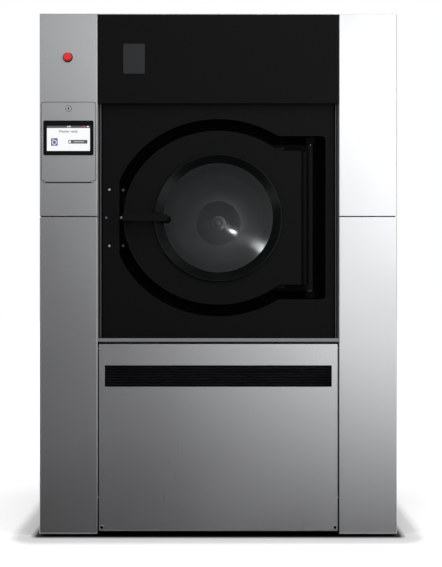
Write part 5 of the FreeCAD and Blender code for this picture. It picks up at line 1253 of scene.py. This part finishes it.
class WASHER_OT_stage(bpy.types.Operator):
    """Sets the floor, the flags and the silk that the steel mirrors, the room, the lamps and the camera"""

    bl_idname = "washer.stage"
    bl_label = "Studio stage"

    def execute(self, context):
        scene = context.scene
        studio = scene.washer_studio
        scene.view_settings.view_transform = "Standard"
        far = 60
        studio_card("studio_floor", [(-far, -far, 0), (far, -far, 0), (far, far, 0), (-far, far, 0)],
                    floor_finish())
        # Black cloth flags: they keep the lower left of the brushed steel dark
        cloth = finish("black_flag_cloth", linear("#0A0A0A"), 0.1, (0.8, 0.9), 0.002, 0.0001)
        outline = [(1.4, -0.69), (-1.7, -0.69), (-1.7, -3.2), (-2.8, -3.2), (-2.8, -5.2), (1.4, -5.2)]
        studio_card("floor_flag", [(x, y, 0.01) for x, y in outline], cloth, shown=False)
        studio_card("front_flag", standing(-6.5, 6.5, -9.4, 0, 9), cloth, shown=False)
        studio_card("silk_reflector", standing(-1.5, 1.85, -5.2, 0.02, 2.78), silk_finish(), shown=False)
        light_room(scene, studio.room_light)
        lamps = (("key_lamp", (-1.6, -4.4, 2.6), (0.6, 0.6), studio.key_power),
                 ("top_lamp", (0.5, -2.6, 3.4), (3.2, 1.6), studio.top_power),
                 ("side_lamp", (2.5, -2.6, 1.9), (1.6, 2.4), studio.side_power))
        for name, place, size, watts in lamps:
            soft_box(name, place, (0, FRONT_FACE, 1.2), size, watts).visible_glossy = False
        place, target = (0.355, -0.49, DRUM_HEIGHT - 0.185), (0.18, 0.19, DRUM_HEIGHT - 0.09)
        inside = soft_box("drum_lamp", place, target, (0.04, 0.04), studio.drum_power)
        inside.visible_camera = False
        data = bpy.data.cameras.new("photo_camera")
        data.lens = studio.lens
        data.clip_end = far
        camera = bpy.data.objects.new("photo_camera", data)
        scene.collection.objects.link(camera)
        camera.location = (studio.camera_side, FRONT_FACE - studio.camera_distance, studio.camera_height)
        camera.rotation_euler = (math.pi / 2, 0, 0)
        scene.camera = camera
        return {"FINISHED"}


OPERATORS = (
    WASHER_OT_finishes,
    WASHER_OT_door_seal,
    WASHER_OT_air_springs,
    WASHER_OT_drive_belt,
    WASHER_OT_drum_wall,
    WASHER_OT_hub_cover,
    WASHER_OT_lock_ring,
    WASHER_OT_front_fittings,
    WASHER_OT_trim_grooves,
    WASHER_OT_display,
    WASHER_OT_control_board,
    WASHER_OT_keeper_bolts,
    WASHER_OT_lever_painted_shadow,
    WASHER_OT_hinge_gussets,
    WASHER_OT_control_gasket,
    WASHER_OT_panel_screws,
    WASHER_OT_back_louvres,
    WASHER_OT_stage,
)


class WASHER_PT_panel(bpy.types.Panel):
    """Lists the washer's pieces and their sizes"""

    bl_idname = "WASHER_PT_panel"
    bl_label = "Washer-extractor"
    bl_space_type = "VIEW_3D"
    bl_region_type = "UI"
    bl_category = "Washer"

    def draw(self, context):
        for operator in OPERATORS:
            self.layout.operator(operator.bl_idname)
        for group in (context.scene.washer_colours, context.scene.washer_sizes, context.scene.washer_studio):
            column = self.layout.column()
            for name in group.bl_rna.properties.keys():
                if name not in ("rna_type", "name"):
                    column.prop(group, name)


CLASSES = (WasherColours, WasherSizes, WasherStudio, *OPERATORS, WASHER_PT_panel)


def register():
    """Adds the classes and the scene's settings."""
    for item in CLASSES:
        bpy.utils.register_class(item)
    bpy.types.Scene.washer_colours = PointerProperty(type=WasherColours)
    bpy.types.Scene.washer_sizes = PointerProperty(type=WasherSizes)
    bpy.types.Scene.washer_studio = PointerProperty(type=WasherStudio)


def unregister():
    """Takes away the scene's settings and the classes."""
    del bpy.types.Scene.washer_studio
    del bpy.types.Scene.washer_sizes
    del bpy.types.Scene.washer_colours
    for item in reversed(CLASSES):
        bpy.utils.unregister_class(item)


def main():
    """Makes every piece."""
    register()
    for operator in OPERATORS:
        group, name = operator.bl_idname.split(".")
        getattr(getattr(bpy.ops, group), name)()


if __name__ == "__main__":
    main()
